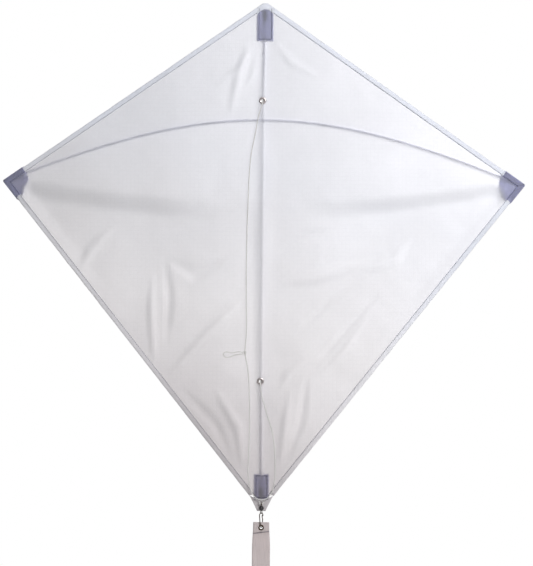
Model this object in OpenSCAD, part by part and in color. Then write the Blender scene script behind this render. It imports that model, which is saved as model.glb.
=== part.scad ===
// Diamond kite with a bowed cross spar, a slack two-point bridle and a ribbon tail.
// Millimetres. The kite hangs by its nose: the origin is the hang point in the nose
// corner, +Z points up, the face looks along -Y and +X is to the right of whoever faces it.

/* [Sail] */
// Width from wing tip to wing tip
span = 680; // [640:5:720]
// Depth of the wing tips below the hang point
tip_drop = 229.5; // [215:0.5:240]
// Depth of the bottom edge below the hang point
sail_drop = 656.5; // [650:0.5:663]
// Angle by which each half of the sail leans back
sweep_back = 4; // [2:0.5:6]
// Thickness of the cloth
cloth_t = 0.3; // [0.25:0.05:0.4]
// Width of the folded hem
hem_w = 6.5; // [5:0.5:8]
// Thickness that the folded hem adds in front
hem_t = 0.4; // [0.3:0.05:0.6]

/* [Pockets] */
// Width of the nose pocket's webbing
nose_pocket_w = 21; // [16:1:26]
// Height of the nose pocket's webbing
nose_pocket_h = 43; // [35:1:50]
// Width of the tail pocket's webbing
tail_pocket_w = 19; // [15:1:22]
// Height of the tail pocket's webbing
tail_pocket_h = 33; // [25:1:40]
// Reach of a wing pocket from the wing tip
wing_pocket_reach = 30; // [26:1:36]
// Thickness of the webbing
web_t = 0.9; // [0.6:0.1:1.2]

/* [Rods] */
// Diameter of both rods
rod_d = 3; // [2.5:0.1:3.2]
// Outer diameter of the rods' end caps
cap_d = 4.2; // [4.1:0.1:4.6]
// Length of an end cap
cap_len = 12; // [8:1:16]
// Depth of the cross spar's crown below the hang point
crown_drop = 148; // [142:1:156]

/* [Bridle] */
// Diameter of the bridle line
line_d = 1.2; // [0.8:0.1:1.2]
// Diameter of the hole through an eyelet
eyelet_hole_d = 3.8; // [3.6:0.1:4]
// Outer diameter of the eyelets on the sail
eyelet_d = 9.2; // [8:0.2:10]
// Depth of the upper eyelet below the hang point
upper_eyelet_drop = 123; // [122:1:124]
// Depth of the lower eyelet below the hang point
lower_eyelet_drop = 488; // [487:1:489]

/* [Swivel and snap] */
// Outer diameter of the swivel's barrel
barrel_d = 6.4; // [5:0.2:6.6]
// Length of the swivel's barrel
barrel_h = 5.8; // [5.6:0.1:6]
// Diameter of the snap's wire
snap_wire_d = 0.9; // [0.7:0.1:1]

/* [Tail] */
// Width of the tail ribbon
ribbon_w = 23.4; // [20:0.2:25]
// Thickness of the ribbon
ribbon_t = 0.35; // [0.3:0.05:0.4]
// Outer diameter of the tail's eyelet
tail_eyelet_d = 7.3; // [6.6:0.1:8]
// Length of the folded hank
hank_len = 122; // [90:2:160]
// Thickness of the folded hank
hank_t = 13; // [10:1:16]

/* [Hidden] */
$fn = 48;

cloth_colour = [0.90, 0.90, 0.93];
hem_colour = [0.94, 0.94, 0.98];
web_colour = [0.55, 0.55, 0.62];
rod_colour = [0.82, 0.82, 0.78];
cap_colour = [0.25, 0.25, 0.27];
line_colour = [0.95, 0.95, 0.92];
nickel_colour = [0.75, 0.72, 0.68];
barrel_colour = [0.10, 0.09, 0.11];
brass_colour = [0.60, 0.45, 0.22];
tail_colour = [0.86, 0.84, 0.82];

// Outline of the sail, right half, from the nose down.
nose_corner = [3, 3.5];
wing_tip = [span / 2, -tip_drop];
low_corner_rise = 17.5;
low_neck_rise = 6.5;
low_corner = [14, low_corner_rise - sail_drop];
low_neck = [8.5, low_neck_rise - sail_drop];
low_end = [5.5, -sail_drop];
up_dir = unit(nose_corner - wing_tip);
low_dir = unit(low_corner - wing_tip);
tip_half_angle = acos(up_dir * low_dir) / 2;
tip_out = -unit(up_dir + low_dir);

// Folded cloth at the nose and at the bottom: each ends in an arch towards the sail.
nose_cap_half = 10.5;
nose_cap_low = -12;
nose_arch_r = 11;
nose_arch_z = -15.5;
tail_cap_top = 19.5 - sail_drop;
tail_arch_r = 24;
tail_arch_z = 39 - sail_drop;

rod_r = rod_d / 2;
cap_r = cap_d / 2;
cap_bore = rod_r + 0.25;
tunnel_r = cap_r + 0.15;
tunnel_wall = 0.6;
end_y = cloth_t + cap_r + 0.2;
pocket_top = -2.6;
tail_pocket_bottom = 15 - sail_drop;
nose_mouth = pocket_top - nose_pocket_h;
tail_mouth = tail_pocket_bottom + tail_pocket_h;

// The cross spar holds the spine off the sail at the crown. Below it the spine eases back
// to the sail over spine_ease.
spine_ease = 220;
spine_top = pocket_top - 4;
spine_bottom = tail_pocket_bottom + 2;
crown_y = cloth_t + rod_r + 1.1;
crossing_y = crown_y + rod_d + 0.1;

spar_rise = tip_drop + 0.5 - crown_drop;
spar_end_x = span / 2 - 12;

eyelet_x = -2.6;
flange_t = 0.7;
hitch_r = rod_r + line_d / 2 + 0.12;

// Slack bridle line: from the upper eyelet down the left, round the bottom, and up to the
// lower eyelet.
BRIDLE = [
    [-2.4, -1.1, -123], [-2.4, -3.6, -123.7], [-2.6, -5.4, -125.5], [-3.1, -6.1, -128],
    [-4.4, -6, -132.5], [-7.7, -4.9, -143], [-12.5, -3.8, -170], [-17.8, -3.2, -200],
    [-20.5, -3, -255],
    [-22, -3, -330], [-21.8, -3, -380], [-21.3, -3, -420], [-22.4, -3.2, -441],
    [-23, -3.4, -451], [-21.4, -3.2, -461], [-18.4, -3, -478], [-16.6, -3, -510],
    [-16.2, -3, -548], [-17.4, -3, -588], [-17.6, -3, -611], [-14, -3.1, -629],
    [-7.5, -3.4, -639], [0.8, -3.6, -641.8], [8.8, -3.4, -638.5], [15, -3.1, -628],
    [17.3, -3, -614], [17.4, -3, -597], [16.8, -3, -578], [14.6, -3, -560],
    [10.6, -3.1, -544], [4.8, -3.7, -526], [-0.4, -4.4, -508],
    [-2.1, -5.9, -498], [-2.4, -6.1, -493], [-2.4, -5.4, -490.5], [-2.4, -3.6, -488.7],
    [-2.4, -1.1, -488]];
// Tow loop, a closed loop of the same line that lies out to the left of its knot.
TOW_LOOP = [
    [-26.2, -3.4, -451.1], [-29.5, -3.4, -449.9], [-34, -3.4, -450.2], [-39, -3.4, -451.4],
    [-44, -3.4, -450.6], [-48, -3.4, -450.2], [-50.8, -3.4, -452.4], [-50, -3.4, -455.6],
    [-46.6, -3.4, -457.2], [-42, -3.4, -456.4], [-36, -3.4, -454.2], [-30, -3.4, -453],
    [-26.8, -3.4, -452.6]];
tow_knot_pos = [-23, -3.4, -451];

// The hanging chain below the sail: loop, swivel, snap and tail, all at one depth in Y.
chain_y = -4.2;
loop_r = 2.4;
loop_cord_r = 0.7;
swing_z = 9.7 - sail_drop;
bead_r = 1.5;
bead_h = 0.8;
bead_depth = 1.6;
shank_r = 0.55;
eye_r = 1.9;
eye_wire_r = 0.45;
eye_z = swing_z - (eye_r - eye_wire_r - loop_cord_r - 0.12);
barrel_top = eye_z - eye_r - eye_wire_r - 0.2;
barrel_bottom = barrel_top - barrel_h;
barrel_fit = 0.05;
low_eye_r = 1.6;
low_eye_wire_r = 0.4;
low_eye_z = barrel_bottom - 0.2 - low_eye_wire_r - low_eye_r;
snap_r = snap_wire_d / 2;
snap_turn = 52;
snap_top_r = 3.6;
snap_bottom_r = 1.95;
snap_apex_z = low_eye_z - (low_eye_r - low_eye_wire_r - snap_r - 0.12);
snap_top_z = snap_apex_z - snap_top_r;
tail_hole_z = -21.3 - sail_drop;
snap_bottom_z = tail_hole_z + 0.3 + snap_bottom_r;
snap_lean = asin((snap_top_r - snap_bottom_r) / (snap_top_z - snap_bottom_z));
arm_len = 12.6;
arm_jog = 1.1;

tail_top = tail_hole_z + 7;
tail_fold = 13;
hank_top = tail_hole_z - 60;
taper_end = tail_top - 50;

function unit(v) = v / norm(v);

// Catmull-Rom point between b and c.
function between(a, b, c, d, t) =
    0.5 * (2 * b + (c - a) * t + (2 * a - 5 * b + 4 * c - d) * t * t
        + (3 * b - a - 3 * c + d) * t * t * t);
function spline(p, per) =
    let(last = len(p) - 1, q = concat([2 * p[0] - p[1]], p, [2 * p[last] - p[last - 1]]))
    [for (i = [0 : last - 1], k = [0 : per - 1])
        between(q[i], q[i + 1], q[i + 2], q[i + 3], k / per), p[last]];
function spline_closed(p, per) = let(n = len(p))
    [for (i = [0 : n - 1], k = [0 : per - 1])
        between(p[(i + n - 1) % n], p[i], p[(i + 1) % n], p[(i + 2) % n], k / per)];

// One ring of a tube at p, square to direction d. No line here runs near the direction
// (1, -1, 1), so rings taken from it never flip.
function ring(p, d, r, sides) = let(u = unit(cross(d, [1, -1, 1])), v = cross(d, u))
    [for (j = [0 : sides - 1]) p + r * (cos(360 * j / sides) * u + sin(360 * j / sides) * v)];

module tube(p, r, sides, closed = false) {
    n = len(p);
    dirs = [for (i = [0 : n - 1]) closed
        ? unit(p[(i + 1) % n] - p[(i + n - 1) % n])
        : unit(p[min(i + 1, n - 1)] - p[max(i - 1, 0)])];
    points = [for (i = [0 : n - 1]) each ring(p[i], dirs[i], r, sides)];
    sides_faces = [for (i = [0 : closed ? n - 1 : n - 2], j = [0 : sides - 1])
        let(a = i * sides, b = ((i + 1) % n) * sides, k = (j + 1) % sides)
        [a + j, b + j, b + k, a + k]];
    ends = closed ? [] : [
        [for (j = [0 : sides - 1]) j],
        [for (j = [0 : sides - 1]) n * sides - 1 - j]];
    polyhedron(points, concat(sides_faces, ends), convexity = 10);
}

// A child drawn along Z is laid along direction d from point p.
module along(p, d) {
    translate(p)
        rotate([0, acos(d[2] / norm(d)), atan2(d[1], d[0])])
            children();
}

// Everything between two Y offsets from the sail's front, which is a shallow V.
module v_slab(y0, y1) {
    half = span / 2 + 20;
    back = half * tan(sweep_back);
    translate([0, 0, -sail_drop - 30])
        linear_extrude(sail_drop + 60)
            polygon([[-half, y0 + back], [0, y0], [half, y0 + back],
                [half, y1 + back], [0, y1], [-half, y1 + back]]);
}

// A flat outline drawn in X and Z, laid on the sail between two Y offsets.
module skin(y0, y1) {
    intersection() {
        v_slab(y0, y1);
        rotate([90, 0, 0])
            translate([0, 0, -60])
                linear_extrude(120)
                    children();
    }
}

module sail_outline() {
    half = [nose_corner, wing_tip, low_corner, low_neck, low_end];
    polygon(concat(half, [for (i = [4 : -1 : 0]) [-half[i][0], half[i][1]]]));
}

// A band of width w inside the edge from a to b, on the side of the sail's middle.
module edge_band(a, b, w) {
    d = b - a;
    translate(a)
        rotate(atan2(d[1], d[0]))
            translate([-20, -w])
                square([norm(d) + 40, w]);
}

module upper_band() {
    edge_band(nose_corner, wing_tip, hem_w);
}

module nose_cap_outline() {
    difference() {
        intersection() {
            sail_outline();
            translate([-nose_cap_half, nose_cap_low])
                square([2 * nose_cap_half, 20]);
        }
        translate([0, nose_arch_z])
            circle(r = nose_arch_r);
    }
}

module tail_cap_outline() {
    difference() {
        intersection() {
            sail_outline();
            translate([-20, -sail_drop - 5])
                square([40, tail_cap_top + sail_drop + 5]);
        }
        translate([0, tail_arch_z])
            circle(r = tail_arch_r);
    }
}

// Wedge of the wing tip, moved outwards by grow.
module tip_wedge(grow, reach) {
    apex = wing_tip + tip_out * grow / sin(tip_half_angle);
    polygon([apex, apex + low_dir * reach, apex + up_dir * reach]);
}

// The spine lies straight in its pockets and passes behind the cross spar.
function spine_y(z) = let(t = z > -crown_drop
        ? (z - nose_mouth) / (-crown_drop - nose_mouth)
        : (z - tail_mouth) / spine_ease)
    end_y + (crossing_y - end_y) * (1 - cos(180 * min(1, max(0, t)))) / 2;

function spar_point(x) = [
    x,
    crown_y - 1 + sqrt(1 + pow(x * tan(sweep_back), 2)) + 0.7 * pow(x / spar_end_x, 2),
    -crown_drop - spar_rise * (1 - cos(180 * x / span))];
spar_end = spar_point(spar_end_x);
spar_end_dir = unit(spar_end - spar_point(spar_end_x - 8));

module sail() {
    color(cloth_colour)
        skin(0, cloth_t)
            difference() {
                sail_outline();
                for (drop = [upper_eyelet_drop, lower_eyelet_drop])
                    translate([eyelet_x, -drop])
                        circle(r = eyelet_hole_d / 2 + 0.4);
            }
}

module hem_upper_right() {
    color(hem_colour)
        skin(-hem_t, 0)
            difference() {
                intersection() {
                    sail_outline();
                    upper_band();
                }
                translate([-60, -60])
                    square([60 + nose_cap_half, 80]);
            }
}

module hem_lower_right() {
    color(hem_colour)
        skin(-hem_t, 0)
            difference() {
                intersection() {
                    sail_outline();
                    edge_band(wing_tip, low_corner, hem_w);
                }
                upper_band();
                translate([-60, tail_cap_top - 60])
                    square([120, 60]);
            }
}

module hem_upper_left() {
    mirror([1, 0, 0])
        hem_upper_right();
}

module hem_lower_left() {
    mirror([1, 0, 0])
        hem_lower_right();
}

module nose_hem_cap() {
    color(hem_colour)
        skin(-hem_t, 0)
            nose_cap_outline();
}

module tail_hem_cap() {
    color(hem_colour)
        skin(-hem_t, 0)
            tail_cap_outline();
}

// Webbing sewn flat on the sail's back, with a raised tunnel for a capped rod end.
// The tunnel is shut at z_shut and open at the other end of the webbing.
module straight_pocket(w, z0, z1, z_open, z_shut) {
    bore_low = min(z_open, z_shut);
    bore_high = max(z_open, z_shut);
    difference() {
        union() {
            skin(cloth_t, cloth_t + web_t)
                translate([-w / 2, z0])
                    square([w, z1 - z0]);
            translate([0, end_y, z0])
                cylinder(r = tunnel_r + tunnel_wall, h = z1 - z0);
        }
        v_slab(-20, cloth_t);
        translate([0, end_y, bore_low])
            cylinder(r = tunnel_r, h = bore_high - bore_low);
        translate([-tunnel_r, 0, bore_low])
            cube([2 * tunnel_r, end_y, bore_high - bore_low]);
    }
}

module nose_pocket() {
    color(web_colour)
        straight_pocket(nose_pocket_w, nose_mouth, pocket_top, nose_mouth - 5, pocket_top - 2);
}

module tail_pocket() {
    color(web_colour)
        straight_pocket(tail_pocket_w, tail_pocket_bottom, tail_mouth, tail_mouth + 5,
            tail_pocket_bottom + 1);
}

// Webbing folded round the sail's corner: the patch behind holds the cross spar's end,
// and a band of the hem's width comes round to the front.
module right_wing_pocket() {
    tunnel_len = 26;
    bore_end = spar_end + 3 * spar_end_dir;
    color(web_colour)
        difference() {
            union() {
                skin(-hem_t - 0.5, cloth_t + web_t)
                    intersection() {
                        tip_wedge(0.6, 70);
                        translate(wing_tip + [-3, 0])
                            circle(r = wing_pocket_reach);
                    }
                along(bore_end + 1.2 * spar_end_dir, -spar_end_dir)
                    cylinder(r = tunnel_r + tunnel_wall, h = tunnel_len);
            }
            skin(-hem_t - 0.02, cloth_t)
                tip_wedge(0.05, 90);
            skin(-20, -hem_t + 0.1)
                tip_wedge(-hem_w, 90);
            along(bore_end, -spar_end_dir)
                cylinder(r = tunnel_r, h = tunnel_len + 20);
            // The rod's side of the tunnel is open towards the sail.
            intersection() {
                v_slab(0, cap_r + cloth_t);
                along(bore_end, -spar_end_dir)
                    translate([-10, -tunnel_r, 0])
                        cube([20, 2 * tunnel_r, tunnel_len + 20]);
            }
            v_slab(-20, -hem_t - 0.5);
        }
}

module left_wing_pocket() {
    mirror([1, 0, 0])
        right_wing_pocket();
}

module spine() {
    steps = 32;
    color(rod_colour)
        tube([for (i = [0 : steps])
            let(z = spine_top - 1 + (spine_bottom - spine_top + 2) * i / steps)
            [0, spine_y(z), z]], rod_r, 12);
}

// A vinyl cap drawn with its shut end at the origin and its bore along +Z.
module rod_cap() {
    difference() {
        cylinder(r = cap_r, h = cap_len);
        translate([0, 0, 0.8])
            cylinder(r = cap_bore, h = cap_len);
    }
}

module spine_nose_cap() {
    color(cap_colour)
        translate([0, end_y, spine_top])
            rotate([180, 0, 0])
                rod_cap();
}

module spine_tail_cap() {
    color(cap_colour)
        translate([0, end_y, spine_bottom])
            rod_cap();
}

module cross_spar() {
    steps = 44;
    color(rod_colour)
        tube([for (i = [0 : steps]) spar_point(spar_end_x * (2 * i / steps - 1))], rod_r, 10);
}

module cross_spar_right_cap() {
    color(cap_colour)
        along(spar_end + spar_end_dir, -spar_end_dir)
            rod_cap();
}

module cross_spar_left_cap() {
    mirror([1, 0, 0])
        cross_spar_right_cap();
}

// A brass eyelet in two pieces, drawn round Y: the flanged barrel from the front and the
// washer that it is rolled over behind. Cloth lies between y0 and y1.
module eyelet(hole_d, outer_d, y0, y1) {
    hole = hole_d / 2;
    outer = outer_d / 2;
    wall = 0.3;
    rotate([-90, 0, 0]) {
        rotate_extrude()
            polygon([[hole, y0 - 0.5], [hole + 0.4, y0 - flange_t], [outer - 0.9, y0 - 0.45],
                [outer, y0 - 0.15], [outer, y0], [hole + wall, y0], [hole + wall, y1 + 0.5],
                [hole + 0.9, y1 + 0.45], [hole + 0.5, y1 + 0.75], [hole, y1 + 0.6]]);
        rotate_extrude()
            polygon([[hole + wall + 0.02, y1], [outer, y1], [outer - 0.2, y1 + 0.25],
                [hole + wall + 0.02, y1 + 0.4]]);
    }
}

module sail_eyelet(drop) {
    color(nickel_colour)
        translate([eyelet_x, 0, -drop])
            eyelet(eyelet_hole_d, eyelet_d, 0, cloth_t + 0.6);
}

module upper_eyelet() {
    sail_eyelet(upper_eyelet_drop);
}

module lower_eyelet() {
    sail_eyelet(lower_eyelet_drop);
}

// Two turns of the bridle line round the spine, and the line from them through the eyelet.
module hitch(drop, line_start) {
    y = spine_y(-drop);
    turn_gap = line_d + 0.05;
    color(line_colour) {
        for (k = [-0.5, 0.5])
            translate([0, y, -drop + k * turn_gap])
                rotate_extrude()
                    translate([hitch_r, 0])
                        circle(r = line_d / 2);
        translate([-hitch_r, line_start, -drop])
            rotate([-90, 0, 0])
                cylinder(r = line_d / 2, h = y - line_start);
    }
}

module upper_bridle_hitch() {
    hitch(upper_eyelet_drop, BRIDLE[0][1]);
}

module lower_bridle_hitch() {
    hitch(lower_eyelet_drop, BRIDLE[0][1]);
}

module bridle_line() {
    color(line_colour)
        tube(spline(BRIDLE, 2), line_d / 2, 8);
}

module tow_knot() {
    color(line_colour)
        translate(tow_knot_pos)
            rotate_extrude()
                polygon([[0, -2.6], [0.9, -2.5], [1.7, -1.6], [1.9, -0.5], [1.9, 0.5], [1.7, 1.6],
                    [0.9, 2.5], [0, 2.6]]);
}

module tow_loop() {
    color(line_colour)
        tube(spline_closed(TOW_LOOP, 2), line_d / 2, 8, closed = true);
}

module tail_loop() {
    top = swing_z + loop_r;
    color(line_colour)
        translate([0, chain_y, top]) {
            rotate([90, 0, 0])
                rotate_extrude(angle = -180)
                    translate([loop_r, 0])
                        circle(r = loop_cord_r);
            for (x = [-loop_r, loop_r])
                translate([x, 0, 0]) {
                    sphere(r = loop_cord_r);
                    rotate([-90, 0, 0])
                        cylinder(r = loop_cord_r, h = -chain_y - hem_t);
                }
        }
}

module swivel_eye() {
    color(brass_colour)
        translate([0, chain_y, 0]) {
            translate([0, 0, eye_z])
                rotate([0, 90, 0])
                    rotate_extrude()
                        translate([eye_r, 0])
                            circle(r = eye_wire_r);
            translate([0, 0, barrel_top - bead_depth])
                cylinder(r = shank_r, h = eye_z - eye_r - barrel_top + bead_depth);
            translate([0, 0, barrel_top - bead_depth])
                cylinder(r = bead_r, h = bead_h);
        }
}

// Room for one eye's bead and shank, drawn with the barrel's end at the origin and the
// bead below it.
module bead_chamber() {
    translate([0, 0, -bead_depth - barrel_fit])
        cylinder(r = bead_r + barrel_fit, h = bead_h + 2 * barrel_fit);
    translate([0, 0, -bead_depth])
        cylinder(r = shank_r + barrel_fit, h = bead_depth + 1);
}

// Barrel with a chamber for each eye's bead, so that both eyes turn in it.
module swivel_barrel() {
    r = barrel_d / 2;
    color(barrel_colour)
        translate([0, chain_y, 0])
            difference() {
                translate([0, 0, barrel_bottom])
                    rotate_extrude()
                        polygon([[0, 0], [1.6, 0], [2.5, 0.7], [r, 1.9], [r, barrel_h - 1.9],
                            [2.5, barrel_h - 0.7], [1.6, barrel_h], [0, barrel_h]]);
                translate([0, 0, barrel_top])
                    bead_chamber();
                translate([0, 0, barrel_bottom])
                    mirror([0, 0, 1])
                        bead_chamber();
            }
}

module swivel_lower_eye() {
    shank_low = low_eye_z + low_eye_r;
    color(brass_colour)
        translate([0, chain_y, 0]) {
            translate([0, 0, low_eye_z])
                rotate([0, 0, snap_turn])
                    rotate([0, 90, 0])
                        rotate_extrude()
                            translate([low_eye_r, 0])
                                circle(r = low_eye_wire_r);
            translate([0, 0, shank_low])
                cylinder(r = shank_r, h = barrel_bottom + bead_depth - shank_low);
            translate([0, 0, barrel_bottom + bead_depth - bead_h])
                cylinder(r = bead_r, h = bead_h);
        }
}

// A point in the snap's own plane: across it, up, and off it.
function snap_point(across, z, off = 0) = [
    across * cos(snap_turn) - off * sin(snap_turn),
    chain_y + across * sin(snap_turn) + off * cos(snap_turn),
    z];

// Points of an arc of the snap round height z, from angle a0 to a1 counted from the arm's side.
function snap_arc(z, r, a0, a1, steps) =
    [for (i = [0 : steps]) let(a = a0 + (a1 - a0) * i / steps)
        snap_point(r * cos(a), z + r * sin(a))];

// A point on a leg at a distance up from the bottom bend. Side 1 is the arm's side.
function leg_point(side, up, off = 0) = snap_point(
    side * (snap_bottom_r * cos(snap_lean) + up * sin(snap_lean)),
    snap_bottom_z - snap_bottom_r * sin(snap_lean) + up * cos(snap_lean),
    off);

// The fixed wire: over the top bend, down the front leg and round the bottom bend.
module snap_wire() {
    end_gap = 20;
    color(brass_colour)
        tube(concat(
            [leg_point(1, arm_len + 0.3)],
            snap_arc(snap_top_z, snap_top_r, -snap_lean, 180 + snap_lean, 16),
            [for (up = [8, 4]) leg_point(-1, up)],
            snap_arc(snap_bottom_z, snap_bottom_r, 180 + snap_lean,
                360 - snap_lean - end_gap, 9)), snap_r, 12);
}

// The spring arm: it turns at the bottom bend and its free end lies beside the fixed wire.
module snap_arm() {
    color(brass_colour)
        tube(spline([leg_point(1, 0), leg_point(1, 4), leg_point(1, arm_len - 4),
            leg_point(1, arm_len - 2.4, 0.5), leg_point(1, arm_len - 0.8, arm_jog),
            leg_point(1, arm_len + 1.8, arm_jog)], 3), snap_r, 12);
}

module tail_eyelet() {
    color(brass_colour)
        translate([0, chain_y, tail_hole_z])
            eyelet(eyelet_hole_d, tail_eyelet_d, -ribbon_t, ribbon_t);
}

module tail_ribbon() {
    wide = ribbon_w / 2;
    narrow = wide - 1.3;
    color(tail_colour)
        translate([0, chain_y, 0])
            rotate([90, 0, 0])
                difference() {
                    union() {
                        translate([0, 0, -ribbon_t])
                            linear_extrude(ribbon_t)
                                polygon([[-narrow, tail_top], [narrow, tail_top],
                                    [wide, taper_end], [wide, hank_top],
                                    [-wide, hank_top], [-wide, taper_end]]);
                        linear_extrude(ribbon_t)
                            polygon([[-narrow, tail_top], [narrow, tail_top],
                                [narrow + 0.2, tail_top - tail_fold],
                                [-narrow - 0.2, tail_top - tail_fold]]);
                    }
                    translate([0, tail_hole_z, -5])
                        cylinder(r = eyelet_hole_d / 2 + 0.35, h = 10);
                }
}

// The rest of the ribbon, folded end over end.
module tail_hank() {
    r = hank_t / 2;
    color(tail_colour)
        translate([-ribbon_w / 2, chain_y, hank_top])
            rotate([90, 0, 90])
                linear_extrude(ribbon_w) {
                    translate([-r, -hank_len + r])
                        square([hank_t, hank_len - 2 * r]);
                    translate([0, -r])
                        circle(r = r);
                    translate([0, r - hank_len])
                        circle(r = r);
                }
}

// A band round the middle of the hank.
module tail_tie() {
    band = 8;
    inner = [ribbon_w + 0.4, hank_t + 0.4];
    wall = 0.8;
    color(line_colour)
        translate([0, chain_y, hank_top - hank_len / 2 - band / 2])
            linear_extrude(band)
                difference() {
                    square(inner + [2 * wall, 2 * wall], center = true);
                    square(inner, center = true);
                }
}

sail();
hem_upper_left();
hem_upper_right();
hem_lower_left();
hem_lower_right();
nose_hem_cap();
tail_hem_cap();
nose_pocket();
tail_pocket();
left_wing_pocket();
right_wing_pocket();
spine();
spine_nose_cap();
spine_tail_cap();
cross_spar();
cross_spar_left_cap();
cross_spar_right_cap();
upper_eyelet();
lower_eyelet();
upper_bridle_hitch();
lower_bridle_hitch();
bridle_line();
tow_knot();
tow_loop();
tail_loop();
swivel_eye();
swivel_barrel();
swivel_lower_eye();
snap_wire();
snap_arm();
tail_eyelet();
tail_ribbon();
tail_hank();
tail_tie();
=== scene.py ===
"""Diamond kite: the looks of every piece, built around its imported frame."""

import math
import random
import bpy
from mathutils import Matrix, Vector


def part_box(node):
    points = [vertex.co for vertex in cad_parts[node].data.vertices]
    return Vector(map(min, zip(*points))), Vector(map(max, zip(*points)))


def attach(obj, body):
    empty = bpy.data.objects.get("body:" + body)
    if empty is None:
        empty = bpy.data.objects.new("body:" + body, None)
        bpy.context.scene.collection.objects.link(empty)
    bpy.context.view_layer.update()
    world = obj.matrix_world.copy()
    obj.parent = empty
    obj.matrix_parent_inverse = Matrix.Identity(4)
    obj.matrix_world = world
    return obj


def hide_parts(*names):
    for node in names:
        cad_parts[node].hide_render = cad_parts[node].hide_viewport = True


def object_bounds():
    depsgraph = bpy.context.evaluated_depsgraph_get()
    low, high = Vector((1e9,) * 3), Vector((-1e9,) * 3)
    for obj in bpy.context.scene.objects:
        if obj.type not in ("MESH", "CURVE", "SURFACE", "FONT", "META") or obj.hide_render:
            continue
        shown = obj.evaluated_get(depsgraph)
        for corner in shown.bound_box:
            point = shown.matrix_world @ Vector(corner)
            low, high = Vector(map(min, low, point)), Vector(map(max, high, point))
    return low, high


bl_info = {
    "name": "Diamond Kite",
    "version": (1, 0, 0),
    "blender": (4, 5, 0),
    "location": "View3D > Sidebar > Kite",
    "description": "Builds a diamond kite's cloth, rods, lines and fittings around its frame",
    "category": "Add Mesh",
}

import bmesh
import bpy
from bpy.props import FloatProperty, FloatVectorProperty, IntProperty, PointerProperty
from mathutils import Matrix, Vector, noise

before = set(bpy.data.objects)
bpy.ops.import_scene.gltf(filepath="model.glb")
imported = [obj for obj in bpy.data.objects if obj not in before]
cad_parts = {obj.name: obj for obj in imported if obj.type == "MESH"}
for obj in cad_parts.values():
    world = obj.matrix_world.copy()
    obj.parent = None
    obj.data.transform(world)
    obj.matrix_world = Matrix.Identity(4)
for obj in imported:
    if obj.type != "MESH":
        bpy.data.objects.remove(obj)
CAD_LOW, CAD_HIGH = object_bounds()
SAIL_LOW, SAIL_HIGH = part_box("sail")

MM = 0.001
CLOTH = 0.3 * MM
HEM = 0.4 * MM
HALF_SPAN = SAIL_HIGH.x
LEAN = (SAIL_HIGH.y - CLOTH) / HALF_SPAN

# Outline of the sail's right half, from the nose down, as (x, z).
NOSE = Vector((0.003, SAIL_HIGH.z))
TIP = Vector((HALF_SPAN, -0.2295))
CORNER = Vector((0.014, SAIL_LOW.z + 0.0175))
NECK = Vector((0.0085, SAIL_LOW.z + 0.0065))
END = Vector((0.0055, SAIL_LOW.z))
UP_EDGE = (NOSE - TIP).normalized()
LOW_EDGE = (CORNER - TIP).normalized()
TIP_OUT = -(UP_EDGE + LOW_EDGE).normalized()
TIP_HALF_ANGLE = UP_EDGE.angle(LOW_EDGE) / 2
TIP_APEX = TIP + TIP_OUT * (0.6 * MM / math.sin(TIP_HALF_ANGLE))

# Cloth folded over at the nose and at the bottom, each with an arched edge.
NOSE_CAP_HALF = 0.0105
NOSE_ARCH = (Vector((0, -0.0155)), 0.011)
TAIL_CAP_TOP = SAIL_LOW.z + 0.0195
TAIL_ARCH = (Vector((0, SAIL_LOW.z + 0.039)), 0.024)

# Rods.
ROD_R = 1.5 * MM
CROWN_Z = -0.148
SPAR_END_X = HALF_SPAN - 0.012
SPAR_RISE = 0.230 - 0.148
SPINE_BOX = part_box("spine")
SNAP_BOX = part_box("snap_wire")
END_Y = SPINE_BOX[0].y + ROD_R
CROSSING_Y = SPINE_BOX[1].y - ROD_R
NOSE_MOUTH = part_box("nose_pocket")[0].z
TAIL_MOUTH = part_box("tail_pocket")[1].z
SPINE_EASE = 0.220

# Route of the slack bridle line, from the upper eyelet round the bottom to the lower one.
BRIDLE = (
    (-0.0024, -0.0011, -0.1230), (-0.0024, -0.0036, -0.1237), (-0.0026, -0.0054, -0.1255),
    (-0.0031, -0.0061, -0.1280), (-0.0044, -0.0060, -0.1325), (-0.0077, -0.0049, -0.1430),
    (-0.0125, -0.0038, -0.1700), (-0.0178, -0.0032, -0.2000), (-0.0205, -0.0030, -0.2550),
    (-0.0220, -0.0030, -0.3300), (-0.0218, -0.0030, -0.3800), (-0.0213, -0.0030, -0.4200),
    (-0.0224, -0.0032, -0.4410), (-0.0230, -0.0034, -0.4510), (-0.0214, -0.0032, -0.4610),
    (-0.0184, -0.0030, -0.4780), (-0.0166, -0.0030, -0.5100), (-0.0162, -0.0030, -0.5480),
    (-0.0174, -0.0030, -0.5880), (-0.0176, -0.0030, -0.6110), (-0.0140, -0.0031, -0.6290),
    (-0.0075, -0.0034, -0.6390), (0.0008, -0.0036, -0.6418), (0.0088, -0.0034, -0.6385),
    (0.0150, -0.0031, -0.6280), (0.0173, -0.0030, -0.6140), (0.0174, -0.0030, -0.5970),
    (0.0168, -0.0030, -0.5780), (0.0146, -0.0030, -0.5600), (0.0106, -0.0031, -0.5440),
    (0.0048, -0.0037, -0.5260), (-0.0004, -0.0044, -0.5080), (-0.0021, -0.0059, -0.4980),
    (-0.0024, -0.0061, -0.4930), (-0.0024, -0.0054, -0.4905), (-0.0024, -0.0036, -0.4887),
    (-0.0024, -0.0011, -0.4880),
)
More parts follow.
